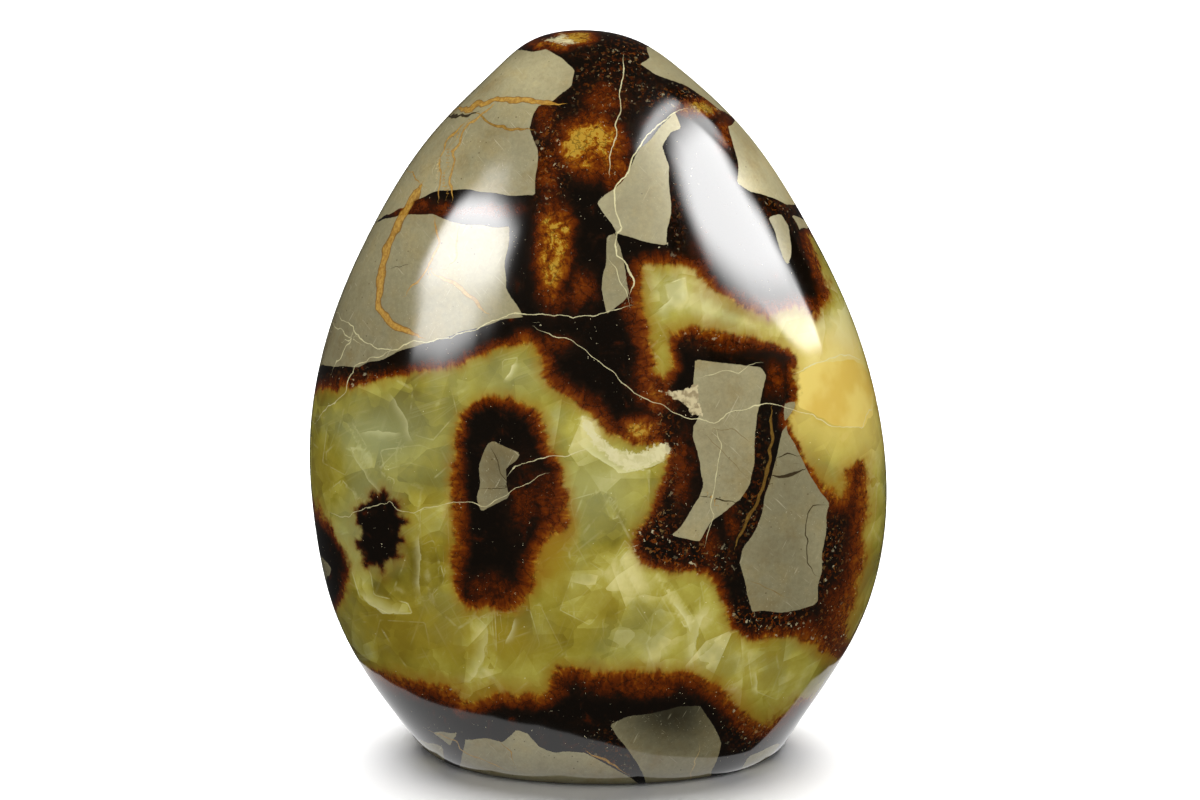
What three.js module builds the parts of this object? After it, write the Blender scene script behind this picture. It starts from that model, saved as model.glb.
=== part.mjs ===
// A polished septarian nodule: one egg-shaped stone, cut flat underneath so that it
// stands by itself. Millimetres, +Z up, the front faces -Y. The origin is on the flat
// base, under the middle of the stone's box.

import * as THREE from 'three';
import { NURBSCurve } from 'three/addons/curves/NURBSCurve.js';
import { mergeVertices } from 'three/addons/utils/BufferGeometryUtils.js';

// Driving dimensions. The stone is described as a gem cutter would gauge it: by level
// cross sections from the base to the tip. A smooth surface is drawn along them, and it
// passes close to each section without touching every one.
const HEIGHT = 145;
const SECTIONS = [
  // level: height of the section; width and depth: its full size;
  // side: how far its middle lies to the right of the origin
  { level: 0, width: 68, depth: 55, side: 0.9 },
  { level: 0, width: 71, depth: 58, side: 0.9 },
  { level: 1, width: 75, depth: 62, side: 0.7 },
  { level: 6, width: 81, depth: 68, side: 0.3 },
  { level: 14, width: 93, depth: 71, side: 0 },
  { level: 28, width: 109, depth: 73, side: 0.2 },
  { level: 46, width: 116, depth: 73, side: 0.5 },
  { level: 66, width: 116, depth: 69, side: -0.7 },
  { level: 88, width: 105, depth: 62, side: -1.3 },
  { level: 108, width: 85, depth: 53, side: -1.8 },
  { level: 125, width: 64, depth: 42, side: -1.8 },
  { level: 138, width: 35, depth: 29, side: -1.8 },
  { level: HEIGHT, width: 19, depth: 14, side: -3.3 },
  { level: HEIGHT, width: 0, depth: 0, side: -3.3 },
];

// Grinding leaves the sections a little squarer than a true ellipse.
const SQUARENESS = 0.012;

// How finely the surface is cut into facets.
const RINGS = 48;
const FACETS_AROUND = 72;

const DEGREE = 3;

// A smooth curve over one value for each section, pulled tight at both ends.
function smoothCurve(points) {
  const spans = points.length - DEGREE;
  const knots = [];
  for (let i = 0; i < DEGREE; i += 1) knots.push(0);
  for (let i = 0; i <= spans; i += 1) knots.push(i);
  for (let i = 0; i < DEGREE; i += 1) knots.push(spans);
  return new NURBSCurve(DEGREE, knots, points);
}

const sizes = smoothCurve(
  SECTIONS.map((s) => new THREE.Vector4(s.width / 2, s.depth / 2, s.level, 1)),
);
const middles = smoothCurve(
  SECTIONS.map((s) => new THREE.Vector4(s.side, 0, s.level, 1)),
);

// The point of the surface at a share of the way up, 0 to 1, and an angle around it.
function surfacePoint(share, angle) {
  const size = sizes.getPoint(share);
  const middle = middles.getPoint(share);
  const squared = (1 - SQUARENESS * Math.cos(4 * angle)) / (1 - SQUARENESS);
  return [
    middle.x + size.x * Math.cos(angle) * squared,
    middle.y + size.y * Math.sin(angle) * squared,
    size.z,
  ];
}

// The whole stone as one closed skin: rings of points from the base's edge to just
// under the tip, a flat fan that closes the base and a fan that closes the tip.
function noduleGeometry() {
  const positions = [];
  for (let ring = 0; ring < RINGS; ring += 1) {
    for (let i = 0; i < FACETS_AROUND; i += 1) {
      positions.push(...surfacePoint(ring / RINGS, (2 * Math.PI * i) / FACETS_AROUND));
    }
  }
  const baseMiddle = positions.length / 3;
  positions.push(SECTIONS[0].side, 0, 0);
  const tip = baseMiddle + 1;
  positions.push(SECTIONS.at(-1).side, 0, HEIGHT);

  const faces = [];
  const topRing = (RINGS - 1) * FACETS_AROUND;
  for (let i = 0; i < FACETS_AROUND; i += 1) {
    const next = (i + 1) % FACETS_AROUND;
    faces.push(baseMiddle, next, i);
    for (let ring = 0; ring < RINGS - 1; ring += 1) {
      const low = ring * FACETS_AROUND;
      const high = low + FACETS_AROUND;
      faces.push(low + i, low + next, high + next);
      faces.push(low + i, high + next, high + i);
    }
    faces.push(topRing + i, topRing + next, tip);
  }

  const geometry = new THREE.BufferGeometry();
  geometry.setAttribute('position', new THREE.Float32BufferAttribute(positions, 3));
  geometry.setIndex(faces);
  const merged = mergeVertices(geometry);
  merged.computeVertexNormals();
  return merged;
}

// Olive calcite is the colour that covers most of the polished surface.
const polishedStone = new THREE.MeshStandardMaterial({
  name: 'polished_stone',
  color: 0x8c7f3c,
  roughness: 0.12,
  metalness: 0,
});

const nodule = new THREE.Mesh(noduleGeometry(), polishedStone);
nodule.name = 'septarian_nodule';

const group = new THREE.Group();
group.add(nodule);

export default group;
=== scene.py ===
# %% [markdown]
# # A polished septarian nodule
#
# A septarian nodule is a lump of grey mudstone that shrank, cracked and healed again. Brown
# aragonite lined the cracks first, and yellow calcite filled what was left. This one was
# ground to an egg, cut flat underneath and polished, so every colour lies in one smooth
# surface. The lesson builds that surface once, works out how far each point of it lies from
# each seam of the stone, and lets a single material read those distances.

# %% Load the packed model
import math

import bpy
import numpy as np
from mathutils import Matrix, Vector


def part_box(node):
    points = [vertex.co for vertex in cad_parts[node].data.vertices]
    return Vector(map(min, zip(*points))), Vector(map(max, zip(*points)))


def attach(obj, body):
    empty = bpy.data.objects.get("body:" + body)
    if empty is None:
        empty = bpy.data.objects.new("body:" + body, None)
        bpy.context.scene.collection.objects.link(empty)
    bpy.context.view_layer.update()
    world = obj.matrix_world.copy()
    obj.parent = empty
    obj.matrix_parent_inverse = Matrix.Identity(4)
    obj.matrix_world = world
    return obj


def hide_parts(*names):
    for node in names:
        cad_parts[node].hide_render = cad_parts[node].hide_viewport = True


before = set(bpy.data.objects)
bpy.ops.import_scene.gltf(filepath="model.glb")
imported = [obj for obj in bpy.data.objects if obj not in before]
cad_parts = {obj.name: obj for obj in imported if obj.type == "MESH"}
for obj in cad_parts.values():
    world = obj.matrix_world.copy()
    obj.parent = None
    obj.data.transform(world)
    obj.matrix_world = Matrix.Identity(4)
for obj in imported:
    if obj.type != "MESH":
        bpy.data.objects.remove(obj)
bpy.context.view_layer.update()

MM = 0.001  # metres
stone_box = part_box("septarian_nodule")
print("the packed stone spans", [round(top - low, 4) for low, top in zip(*stone_box)], "m")

# %% [markdown]
# ## The viewing place
#
# The front of the stone is drawn as if on a flat sheet, in millimetres, so the camera comes
# first: the sheet is the plane through the stone's middle that faces it. A long lens from
# 70 cm away flattens the stone a little, and a small tilt shows some of the base's curve.

# %% Camera and drawing sheet
LENS = 105  # millimetres, as are all lengths here that have no unit of their own
SENSOR = 36
CAMERA_DISTANCE = 700
CAMERA_TILT = math.radians(12)
AIM = np.array([0.22, 0.0, 71.1])  # the point looked at
SHEET_LEVEL = 76.0  # how high on the sheet that point is
AWAY = np.array([0.0, math.cos(CAMERA_TILT), -math.sin(CAMERA_TILT)])
UPWARD = np.array([0.0, math.sin(CAMERA_TILT), math.cos(CAMERA_TILT)])


def on_sheet(points):
    """Where points of the stone appear on the drawing: across, up, and how far behind it."""
    from_aim = points - AIM
    behind = from_aim @ AWAY
    nearer = CAMERA_DISTANCE / (CAMERA_DISTANCE + behind)
    return from_aim[:, 0] * nearer, SHEET_LEVEL + from_aim @ UPWARD * nearer, behind


camera_data = bpy.data.cameras.new("viewing_camera")
camera_data.lens = LENS
camera_data.sensor_width = SENSOR
camera = bpy.data.objects.new("viewing_camera", camera_data)
camera.location = (AIM - AWAY * CAMERA_DISTANCE) * MM
camera.rotation_euler = (math.pi / 2 - CAMERA_TILT, 0, 0)
bpy.context.scene.collection.objects.link(camera)
bpy.context.scene.camera = camera
bpy.context.scene.view_settings.view_transform = "Standard"
print("camera at", [round(value, 3) for value in camera.location], "m")

# %% [markdown]
# ## Small tools for outlines
#
# Every seam in the stone is drawn as an outline or a line on the sheet. What the material
# needs is not the outline itself but the distance to it, since a distance shades smoothly
# from one point of the mesh to the next. A distance is negative inside an outline.


# %% Distances to outlines and lines
FAR_AWAY = 1e6  # further off than anything on the stone


def rounded(outline, times):
    """A closed outline with its corners cut off this many times."""
    for _ in range(times):
        following = outline[1:] + outline[:1]
        outline = [
            (a[0] + (b[0] - a[0]) * share, a[1] + (b[1] - a[1]) * share)
            for a, b in zip(outline, following)
            for share in (0.25, 0.75)
        ]
    return outline


def nearest_on_edge(across, up, start, end):
    """Distance to one straight edge, and the share of the way along it of the nearest point."""
    run, rise = end[0] - start[0], end[1] - start[1]
    share = ((across - start[0]) * run + (up - start[1]) * rise) / (run * run + rise * rise)
    share = np.clip(share, 0, 1)
    return np.hypot(across - start[0] - share * run, up - start[1] - share * rise), share


def outline_distance(across, up, outline):
    """Distance to a closed outline, negative inside it."""
    nearest = np.full(across.shape, FAR_AWAY)
    inside = np.zeros(across.shape, bool)
    for start, end in zip(outline, outline[1:] + outline[:1]):
        distance, _ = nearest_on_edge(across, up, start, end)
        nearest = np.minimum(nearest, distance)
        if start[1] != end[1]:
            spans = (start[1] > up) != (end[1] > up)
            crossing = start[0] + (up - start[1]) * (end[0] - start[0]) / (end[1] - start[1])
            inside ^= spans & (across < crossing)
    return np.where(inside, -nearest, nearest)


print("a unit square's middle lies", outline_distance(
    np.array([0.5]), np.array([0.5]), [(0, 0), (1, 0), (1, 1), (0, 1)])[0], "from its edge")

# %% Smooth steps and wanderings
WAVES = 7
WAVE_HEIGHT = 2.6  # what the sum of the waves is divided by, to come to about one unit


def smooth_step(value, zero_at, one_at):
    """0 at one value, 1 at another, either way round, and a smooth change between them."""
    share = np.clip((value - zero_at) / (one_at - zero_at), 0, 1)
    return share * share * (3 - 2 * share)


def wander(points, wavelength, seed):
    """Three numbers of about one unit that change slowly through space, as sums of waves."""
    draw = np.random.default_rng(seed)
    total = np.zeros((len(points), 3))
    for _ in range(WAVES):
        direction = draw.normal(size=3)
        direction /= np.linalg.norm(direction)
        phase = draw.uniform(0, 2 * math.pi, 3)
        length = wavelength * draw.uniform(0.7, 1.5)
        total += np.sin((points @ direction)[:, None] * 2 * math.pi / length + phase)
    return total / WAVE_HEIGHT


print("a wave of 10 mm at the aim point:", wander(AIM[None], 10, seed=1).round(2))

# %% [markdown]
# ## The blocks of mudstone
#
# The grey panes are flat-sided blocks that the cracks cut out of the mudstone. Each is drawn
# as its outline on the sheet and runs straight back into the stone for some millimetres. A
# tone tells darker mudstone from paler, and the roughness how well that block took the wheel:
# the soft ones near the top stayed dull.

# %% Outlines of the blocks
MUD_ROUGHNESS = 0.13
SOFT_MUD_ROUGHNESS = 0.34
# Each block: how far behind the sheet it ends, its tone, its roughness, and its outline.
BLOCKS = {
    "shoulder": (14, 1.0, MUD_ROUGHNESS, [
        (-16.5, 146), (-10.5, 146), (-7.5, 144.5), (-5, 142), (-6, 138.5), (-9.5, 136),
        (-12.5, 135), (-13.5, 133.5), (-14, 130.5), (-12.5, 126), (-13, 121), (-13, 117),
        (-20, 117), (-26, 118), (-32, 118), (-38.5, 115), (-44, 112), (-54, 106), (-54, 144),
        (-24, 150),
    ]),
    "left_flank": (10, 0.92, MUD_ROUGHNESS, [
        (-54, 111), (-44, 111.5), (-40, 113), (-33.5, 113), (-30, 111.5), (-24, 111),
        (-18, 110.5), (-18.5, 107), (-19, 102), (-19, 98.5), (-17, 95.5), (-15.5, 93),
        (-20, 92), (-24, 90.5), (-32, 88), (-40, 86), (-48, 83), (-55.5, 82.5), (-64, 81.5),
    ]),
    "top_wedge": (12, 1.05, 0.3, [
        (9.5, 146.5), (10, 144.5), (8, 143), (11, 141.5), (14.5, 140), (18.5, 138),
        (22.5, 135.5), (26.5, 132.5), (28.5, 131), (38, 136), (20, 152),
    ]),
    "crown_pane": (-4, 1.1, SOFT_MUD_ROUGHNESS, [
        (15, 133.5), (11, 129.5), (8, 126.5), (6, 121.5), (3, 118), (-0.5, 115.5), (1, 113),
        (3, 109.5), (8, 108), (13.5, 107), (14, 111.5), (14, 117), (14, 123), (12.5, 127),
        (14, 129.5), (16, 130.5),
    ]),
    "right_pane": (8, 1.1, SOFT_MUD_ROUGHNESS, [
        (25.5, 131), (26.5, 128), (27.5, 124), (27.5, 119.5), (30, 118), (35, 116.5),
        (38, 115), (46, 118), (36, 136), (27.5, 132.5),
    ]),
    "right_chip": (0, 1.0, SOFT_MUD_ROUGHNESS, [
        (38.5, 113), (41, 112), (43, 111.5), (40, 110), (39.5, 111),
    ]),
    "right_splinter": (0, 0.9, SOFT_MUD_ROUGHNESS, [
        (34, 112.5), (36.5, 113), (38, 110.5), (38, 107), (37.5, 103.5), (36.5, 104.5),
        (35, 108.5),
    ]),
    "middle_pane": (-8, 0.98, MUD_ROUGHNESS, [
        (19, 84), (25.5, 83.5), (32, 82.5), (33, 81), (32.5, 77.5), (32, 74), (31, 69.5),
        (31, 63), (30, 59.5), (28, 56), (24.5, 54), (22.5, 52), (20, 48), (19, 48), (14, 49),
        (17.5, 53), (19.5, 56.5), (20.5, 59.5), (20.5, 63), (18.5, 69), (18.5, 71), (20, 73),
        (19.5, 75), (19, 79.5),
    ]),
    "right_island": (0, 0.8, MUD_ROUGHNESS, [
        (37.5, 71), (37.5, 69.5), (39, 67), (41, 62.5), (44, 58), (46, 55), (45.5, 51),
        (44.5, 45.5), (44, 39.5), (43.5, 35), (39.5, 34), (30.5, 33.5), (29, 39),
        (27.5, 43.5), (28.5, 46), (31.5, 51), (33, 55), (34.5, 61), (35.5, 66), (36.5, 69.5),
    ]),
    "small_island": (-12, 0.8, MUD_ROUGHNESS, [
        (-22.4, 68), (-21.2, 68), (-16, 65.4), (-16.4, 63.8), (-18.4, 62), (-18.6, 59),
        (-18, 56.6), (-23.9, 53.2), (-24.3, 56), (-23.6, 59.3), (-24.1, 63), (-23.2, 66.2),
    ]),
    "edge_chip": (0, 0.7, MUD_ROUGHNESS, [
        (-56, 45), (-54.5, 43.5), (-53.5, 42), (-55, 40), (-58, 39),
    ]),
    "main_sliver": (-10, 0.85, MUD_ROUGHNESS, [
        (1, 109), (2.5, 109.5), (4, 106.5), (5, 101.5), (5.5, 97), (4.5, 95.5), (3, 94.5),
        (1, 93.5), (0.5, 98), (1, 103.5),
    ]),
    "foot_pane": (4, 0.9, MUD_ROUGHNESS, [
        (2, 11.5), (6.5, 13), (10.5, 13.5), (16, 15), (20, 14.5), (22.5, 10.5), (24, 7.5),
        (23.5, 5), (22, 0.5), (21, -4), (11, -4), (9, 0), (6, 5.5),
    ]),
    "foot_left": (4, 0.95, MUD_ROUGHNESS, [
        (-39, 9), (-34.5, 7.5), (-31.5, 6.5), (-31, 3.5), (-30.5, -2), (-40, -2),
    ]),
    "foot_middle": (4, 0.95, MUD_ROUGHNESS, [
        (-27, 8), (-22, 8), (-19.5, 7.5), (-16.5, 9.5), (-14.5, 9), (-12.5, 6.5), (-9, 5.5),
        (-3, 5.5), (0, 4), (5, 1), (8, -1), (8, -4), (-27.5, -4), (-28, 3),
    ]),
    "foot_scrap": (4, 0.9, MUD_ROUGHNESS, [
        (-33.5, 9.5), (-31, 10), (-28.5, 9.5), (-30, 7),
    ]),
    "neck_chip": (0, 0.8, MUD_ROUGHNESS, [
        (37, 76), (39, 76), (39, 75), (38, 73), (37, 71.5), (37, 74),
    ]),
    "foot_right": (2, 0.95, MUD_ROUGHNESS, [
        (28, 1.5), (29.5, 4.5), (34, 6.5), (40, 9), (40, -2), (28, -2),
    ]),
}
print(len(BLOCKS), "blocks of mudstone drawn on the front")

# %% [markdown]
# ## The calcite
#
# Calcite filled the widest cracks: a large pool across the middle and lower left, and a
# window on the right. Both are outlined where the yellow meets the brown. Rings of brown
# stand inside the pool like islands around the crumbs of mudstone that they grew from.

# %% Outlines of the calcite
CALCITE_POOLS = {
    "pool": [
        (-66, 76), (-57, 78), (-51, 78), (-44, 80), (-37, 81.5), (-30, 82.5), (-24, 85),
        (-17, 87), (-14, 87.5), (-12.5, 85.5), (-12, 82.5), (-10, 79), (-7.5, 77), (-2, 74),
        (0, 72), (1.5, 69), (5.5, 67), (9.5, 67), (13, 66), (13, 63), (11.5, 58), (10, 53.5),
        (8, 51.5), (6, 48), (7, 44.5), (11, 42.5), (14.5, 41.5), (21, 41), (23.5, 39),
        (24.5, 35), (25.5, 31.5), (27, 29), (30.5, 28), (36, 29), (41, 28), (45, 25),
        (54, 22), (48, 15), (40.5, 17), (36.5, 13.5), (33, 10.5), (30, 12), (27, 16),
        (24, 18.5), (20, 21), (17, 22.5), (13.5, 21.5), (2, 21.5), (-6, 23), (-9.5, 22),
        (-11, 16), (-15.5, 18), (-23, 17.5), (-25.5, 15), (-30.5, 19), (-39, 20.5),
        (-44, 22), (-54, 21.5), (-60, 28), (-54, 32), (-52, 35), (-50.5, 39), (-50, 43.5),
        (-52, 48), (-55, 52), (-57.5, 57), (-66, 60),
    ],
    "window": [
        (9, 103), (12, 103.5), (18, 102.5), (22, 98), (26, 96), (30, 93.5), (35, 92.5),
        (40, 95), (42.5, 92.5), (44, 92.5), (46, 97), (45.5, 99.5), (44.5, 102), (43, 106),
        (41, 110.5), (60, 108), (62, 28), (49.5, 26), (49.5, 31), (51, 37), (53, 42.5),
        (53, 48), (53, 52.5), (54, 58), (53.5, 62.5), (53, 65), (51, 64), (48.5, 61.5),
        (49.5, 59.5), (48, 56.5), (46.5, 57.5), (44.5, 59.5), (41.5, 63), (39.5, 67.5),
        (38, 72), (39, 75), (40, 78), (39, 80), (39.5, 85), (38, 86.5), (34, 88), (28, 89),
        (21, 90), (18.5, 91), (15, 89.5), (13.5, 88), (14, 86), (14, 83), (13, 80), (11, 82),
        (10.5, 85.5), (10, 88), (9.5, 92), (8, 95), (8, 99),
    ],
}
BROWN_ISLANDS = {
    "small_ring": [
        (-27, 74.5), (-24, 76.5), (-20, 77), (-17, 76), (-14, 74.5), (-12, 72.5), (-11, 70),
        (-9, 65.5), (-7, 59.5), (-6, 54), (-7, 50), (-11, 48), (-12.5, 42), (-14, 36.5),
        (-18.5, 34), (-23, 34.5), (-27, 34), (-29, 37), (-29.5, 42), (-29.5, 49.5), (-30, 60),
        (-29.5, 67), (-28.5, 71.5),
    ],
    "dark_spot": [
        (-48.2, 55.6), (-45.8, 55.2), (-46.2, 57.8), (-44.2, 56.5), (-42.6, 58.7), (-42.1, 55.8),
        (-39.8, 56.5), (-40.8, 53.2), (-37.9, 51.9), (-40.3, 50.4), (-38.2, 47.7), (-40.6, 46.9),
        (-39.4, 43.6), (-42.2, 44), (-43.4, 40.1), (-44.8, 43.1), (-47.5, 41.4), (-46.9, 45.5),
        (-49.3, 47.3), (-47.5, 49.7), (-49.8, 51.9),
    ],
}
print(len(CALCITE_POOLS), "calcite pools with", len(BROWN_ISLANDS), "brown islands")

# %% [markdown]
# ## The far side
#
# The camera doesn't see the back, but the cracks run right through the stone. Mudstone cracks
# the way drying mud does, into cells around evenly spread middles, so a handful of middles
# is enough: each block is the part of the stone nearest to its own middle, pulled back from
# its neighbours to leave room for the seam.

# %% Middles of the blocks on the far side
# In the stone's own frame. A calcite middle leaves its whole cell to the yellow.
MUDSTONE_MIDDLES = [
    (-22, 20, 126), (8, 24, 112), (34, 18, 106), (-38, 22, 96), (-12, 30, 86), (22, 34, 80),
    (50, 16, 72), (-48, 26, 62), (2, 38, 52), (36, 30, 44), (-26, 32, 32), (-50, 12, 26),
    (12, 30, 18), (40, 18, 12), (-14, 18, 4), (20, -6, -6), (-10, -12, -8), (-34, 6, -2),
]
CALCITE_MIDDLES = [(18, 18, 134), (-16, 34, 62), (30, 30, 62), (-8, 34, 14), (56, 8, 40)]
THINNEST_SEAM = 1.62  # half the width of the thinnest kind of seam
SEAM_STEP = 1.26  # how much more each next kind has
SEAM_KINDS = 5
FAR_BEND = 1.6  # how far the far side's seams bend


def far_block_distance(points):
    """Distance to the nearest block of the far side, negative inside it."""
    middles = np.array(MUDSTONE_MIDDLES + CALCITE_MIDDLES, float)
    bent = points + wander(points, 26, seed=3) * FAR_BEND
    nearest = np.full(len(points), FAR_AWAY)
    for i in range(len(MUDSTONE_MIDDLES)):
        outside = np.full(len(points), -FAR_AWAY)
        for k in range(len(middles)):
            if k == i:
                continue
            apart = middles[k] - middles[i]
            length = np.linalg.norm(apart)
            # The same kind from both sides, as both neighbours share the seam.
            kind = 7 * (i + k) % SEAM_KINDS
            seam = THINNEST_SEAM + SEAM_STEP * kind
            wall = (bent - middles[i]) @ (apart / length) - length / 2 + seam
            outside = np.maximum(outside, wall)
        nearest = np.minimum(nearest, outside)
    return nearest


print(len(MUDSTONE_MIDDLES), "blocks on the far side")

# %% [markdown]
# ## The stone's surface
#
# A lapidary grinds such a stone against a wheel until it is smooth and even all over, and
# leaves it a little flatter than it is wide. Its surface follows cross sections, each a level
# with a width and a depth. A cubic B-spline, worked out here in a few lines, runs smoothly
# from each section to the next.

# %% Cross sections
HEIGHT = round((stone_box[1][2] - stone_box[0][2]) / MM, 1)
# Each section: its level, full width, full depth, and how far right its middle lies.
SECTIONS = np.array([
    (0, 68, 55, 0.9), (0, 71, 58, 0.9), (1, 75, 62, 0.7), (6, 81, 68, 0.3), (14, 93, 71, 0),
    (28, 109, 73, 0.2), (46, 116, 73, 0.5), (66, 116, 69, -0.7), (88, 105, 62, -1.3),
    (108, 85, 53, -1.8), (125, 64, 42, -1.8), (138, 35, 29, -1.8), (HEIGHT, 19, 14, -3.3),
    (HEIGHT, 0, 0, -3.3),
])
SQUARENESS = 0.012  # how far a section goes from an oval towards a rounded rectangle
DEGREE = 3  # of the spline


def spline_weights(shares, count):
    """How much each of count sections pulls on the surface at each share of the way up."""
    spans = count - DEGREE
    knots = np.concatenate([np.zeros(DEGREE), np.arange(spans + 1), np.full(DEGREE, spans)])
    place = np.clip(shares * spans, 0, spans - 1e-9)[:, None]
    weights = ((place >= knots[:-1]) & (place < knots[1:])).astype(float)
    for step in range(1, DEGREE + 1):
        last = len(knots) - step - 1
        left = knots[step:step + last] - knots[:last]
        right = knots[step + 1:step + 1 + last] - knots[1:last + 1]
        rising = np.divide(place - knots[:last], left, np.zeros((len(place), last)), where=left > 0)
        falling = np.divide(
            knots[step + 1:step + 1 + last] - place, right, np.zeros((len(place), last)),
            where=right > 0,
        )
        weights = rising * weights[:, :last] + falling * weights[:, 1:last + 1]
    return weights


def surface_rows(shares, angles):
    """The surface's points, a row for each share of the way up and a column for each angle."""
    level, width, depth, side = (spline_weights(shares, len(SECTIONS)) @ SECTIONS).T[:, :, None]
    bulge = (1 - SQUARENESS * np.cos(4 * angles)) / (1 - SQUARENESS)
    return np.stack([
        side + width / 2 * np.cos(angles) * bulge,
        depth / 2 * np.sin(angles) * bulge,
        level + 0 * angles,
    ], axis=-1)


print("one third of the way up the surface stands at",
      surface_rows(np.array([1 / 3]), np.array([0.0]))[0, 0].round(1), "mm on the right")

# %% [markdown]
# ## The mesh that carries the colours
#
# Colours that are read from the points of a mesh are only as sharp as the points are close.
# The rows are spread evenly along the stone's profile. Around the stone, the points stand
# closest together on the front, where the pattern is finest. Rings fill in the flat base,
# which stays flat because its faces aren't smoothed.

# %% Where the points stand
ROWS = 246
COLUMNS = 380
BASE_RINGS = 8
BACK_SPACING = 2.1  # how much further apart the points stand at the back
COARSE_STEPS = 2001
WIDEST = 0.45  # the share of the way up where the stone is about at its widest


def spread(density, count, ends):
    """count values from one end to the other, packed by density at evenly spaced places."""
    places = np.linspace(*ends, len(density))
    filled = np.concatenate([[0], np.cumsum((density[1:] + density[:-1]) / 2)])
    return np.interp(np.linspace(0, filled[-1], count), filled, places)


coarse_angles = np.linspace(0, 2 * math.pi, COARSE_STEPS)
widest_row = surface_rows(np.array([WIDEST]), coarse_angles)[0]
stride = np.linalg.norm(np.gradient(widest_row, axis=0), axis=1)
to_front = smooth_step(-np.sin(coarse_angles), -0.35, 0.15)
angles = spread(stride * (1 / BACK_SPACING + to_front * (1 - 1 / BACK_SPACING)),
                COLUMNS + 1, (0, 2 * math.pi))[:-1]

coarse_shares = np.linspace(0, 1, COARSE_STEPS)
profile = surface_rows(coarse_shares, np.array([-math.pi / 2, 0.0]))
climb = np.linalg.norm(np.gradient(profile, axis=0), axis=2).mean(axis=1)
shares = spread(climb, ROWS, (0, 1))

rows = surface_rows(shares[:-1], angles)
base_middle = np.array([SECTIONS[0][3], 0.0, 0.0])
base_rows = [base_middle + (rows[0] - base_middle) * ring / BASE_RINGS
             for ring in range(1, BASE_RINGS)]
grid = np.concatenate([base_rows, rows])
tip = np.array([[SECTIONS[-1][3], 0.0, HEIGHT]])
points = np.concatenate([grid.reshape(-1, 3), [base_middle], tip])
gaps = np.linalg.norm(np.diff(rows[ROWS // 2], axis=0), axis=1)
print("halfway up, points stand from", gaps.min().round(2), "to", gaps.max().round(2), "mm apart")

# %% The dense mesh
grid_rows = len(grid)
here = np.arange(grid_rows * COLUMNS).reshape(grid_rows, COLUMNS)
beside = np.roll(here, -1, axis=1)
quads = np.stack([here[:-1], beside[:-1], beside[1:], here[1:]], axis=-1).reshape(-1, 4)
base_index = grid_rows * COLUMNS
base_fan = [(base_index, right, left) for left, right in zip(here[0], beside[0])]
tip_fan = [(left, right, base_index + 1) for left, right in zip(here[-1], beside[-1])]

stone_mesh = bpy.data.meshes.new("polished_nodule")
stone_mesh.from_pydata((points * MM).tolist(), [], quads.tolist() + base_fan + tip_fan)
# The first quads are the base's rings, and the base fan is the first fan.
smooth_faces = np.ones(len(quads) + 2 * COLUMNS, bool)
smooth_faces[:(BASE_RINGS - 1) * COLUMNS] = False
smooth_faces[len(quads):len(quads) + COLUMNS] = False
stone_mesh.polygons.foreach_set("use_smooth", smooth_faces)
stone = bpy.data.objects.new("polished_nodule", stone_mesh)
bpy.context.scene.collection.objects.link(stone)
print(len(points), "points and", 2 * len(quads) + 2 * COLUMNS, "triangles on the stone")

# %% [markdown]
# ## Distances to the blocks and to the calcite
#
# Now the outlines are measured from every point of the mesh. A real seam is never as smooth
# as a drawing, so the points wander by a fraction of a millimetre first. Blocks and pools of
# the front end a little way behind the sheet, and beyond that the far side takes over.

# %% Block distance
EDGE_WANDER = 0.22  # of the drawn outlines
END_WANDER = 2.5  # of the far end of a front block
FAR_START = 3.0  # how far behind the sheet the far side begins
FAR_FULL = 12.0  # and where it has taken over
FAR_BLOCK_START = 5.0
FAR_TONE = 0.95
FRONT_TO_FAR_SEAM = 7.0


def bent_sheet(points):
    """The sheet places of points that wander a little, as a real crack's edge does."""
    slow, quick = wander(points, 9, seed=5), wander(points, 3.5, seed=6)
    return on_sheet(points + (slow + 0.5 * quick) * EDGE_WANDER)


def block_distances(points):
    """For each point: distance to the nearest block, that block's tone and its roughness."""
    across, up, behind = bent_sheet(points)
    behind = behind + END_WANDER * wander(points, 18, seed=31)[:, 0]
    nearest = np.full(len(points), FAR_AWAY)
    tone = np.ones(len(points))
    dullness = np.full(len(points), MUD_ROUGHNESS)
    for end, block_tone, roughness, outline in BLOCKS.values():
        distance = np.maximum(outline_distance(across, up, outline), behind - end)
        closer = distance < nearest
        nearest = np.where(closer, distance, nearest)
        tone = np.where(closer, block_tone, tone)
        dullness = np.where(closer, roughness, dullness)
    far = np.maximum(far_block_distance(points), FRONT_TO_FAR_SEAM - nearest)
    far = np.maximum(far, FAR_BLOCK_START - behind)
    return np.minimum(nearest, far), np.where(far < nearest, FAR_TONE, tone), dullness


block_distance, block_tone, block_dullness = block_distances(points)
print(f"{(block_distance < 0).mean():.0%} of the points lie on mudstone")

# %% [markdown]
# ## The calcite's edge and the roots of the fibres
#
# Aragonite grew as needles that stand at right angles to the wall of the crack. A streak
# pattern must therefore point across the edge wherever the edge runs. For each point the
# nearest place on the edge is found from the slope of the distance. A noise that is read at
# that place, and not at the point itself, comes out drawn into needles. Behind the sheet,
# every block keeps at least a thin brown lining.

# %% Calcite distance and fibre roots
FAR_BAND = 3.4  # how thick brown lines a block of the far side
FAR_LINING = 2.6  # the least brown around any block behind the sheet
LINING_FULL = 4  # how far behind the sheet the lining has come in fully
NO_LINING = 30  # taken off in front, where there is no such lining
CORNER_CUTS = 2
ROOT_STEP = 0.3  # over which the slope is measured
LEAST_STEEPNESS = 0.3


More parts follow.
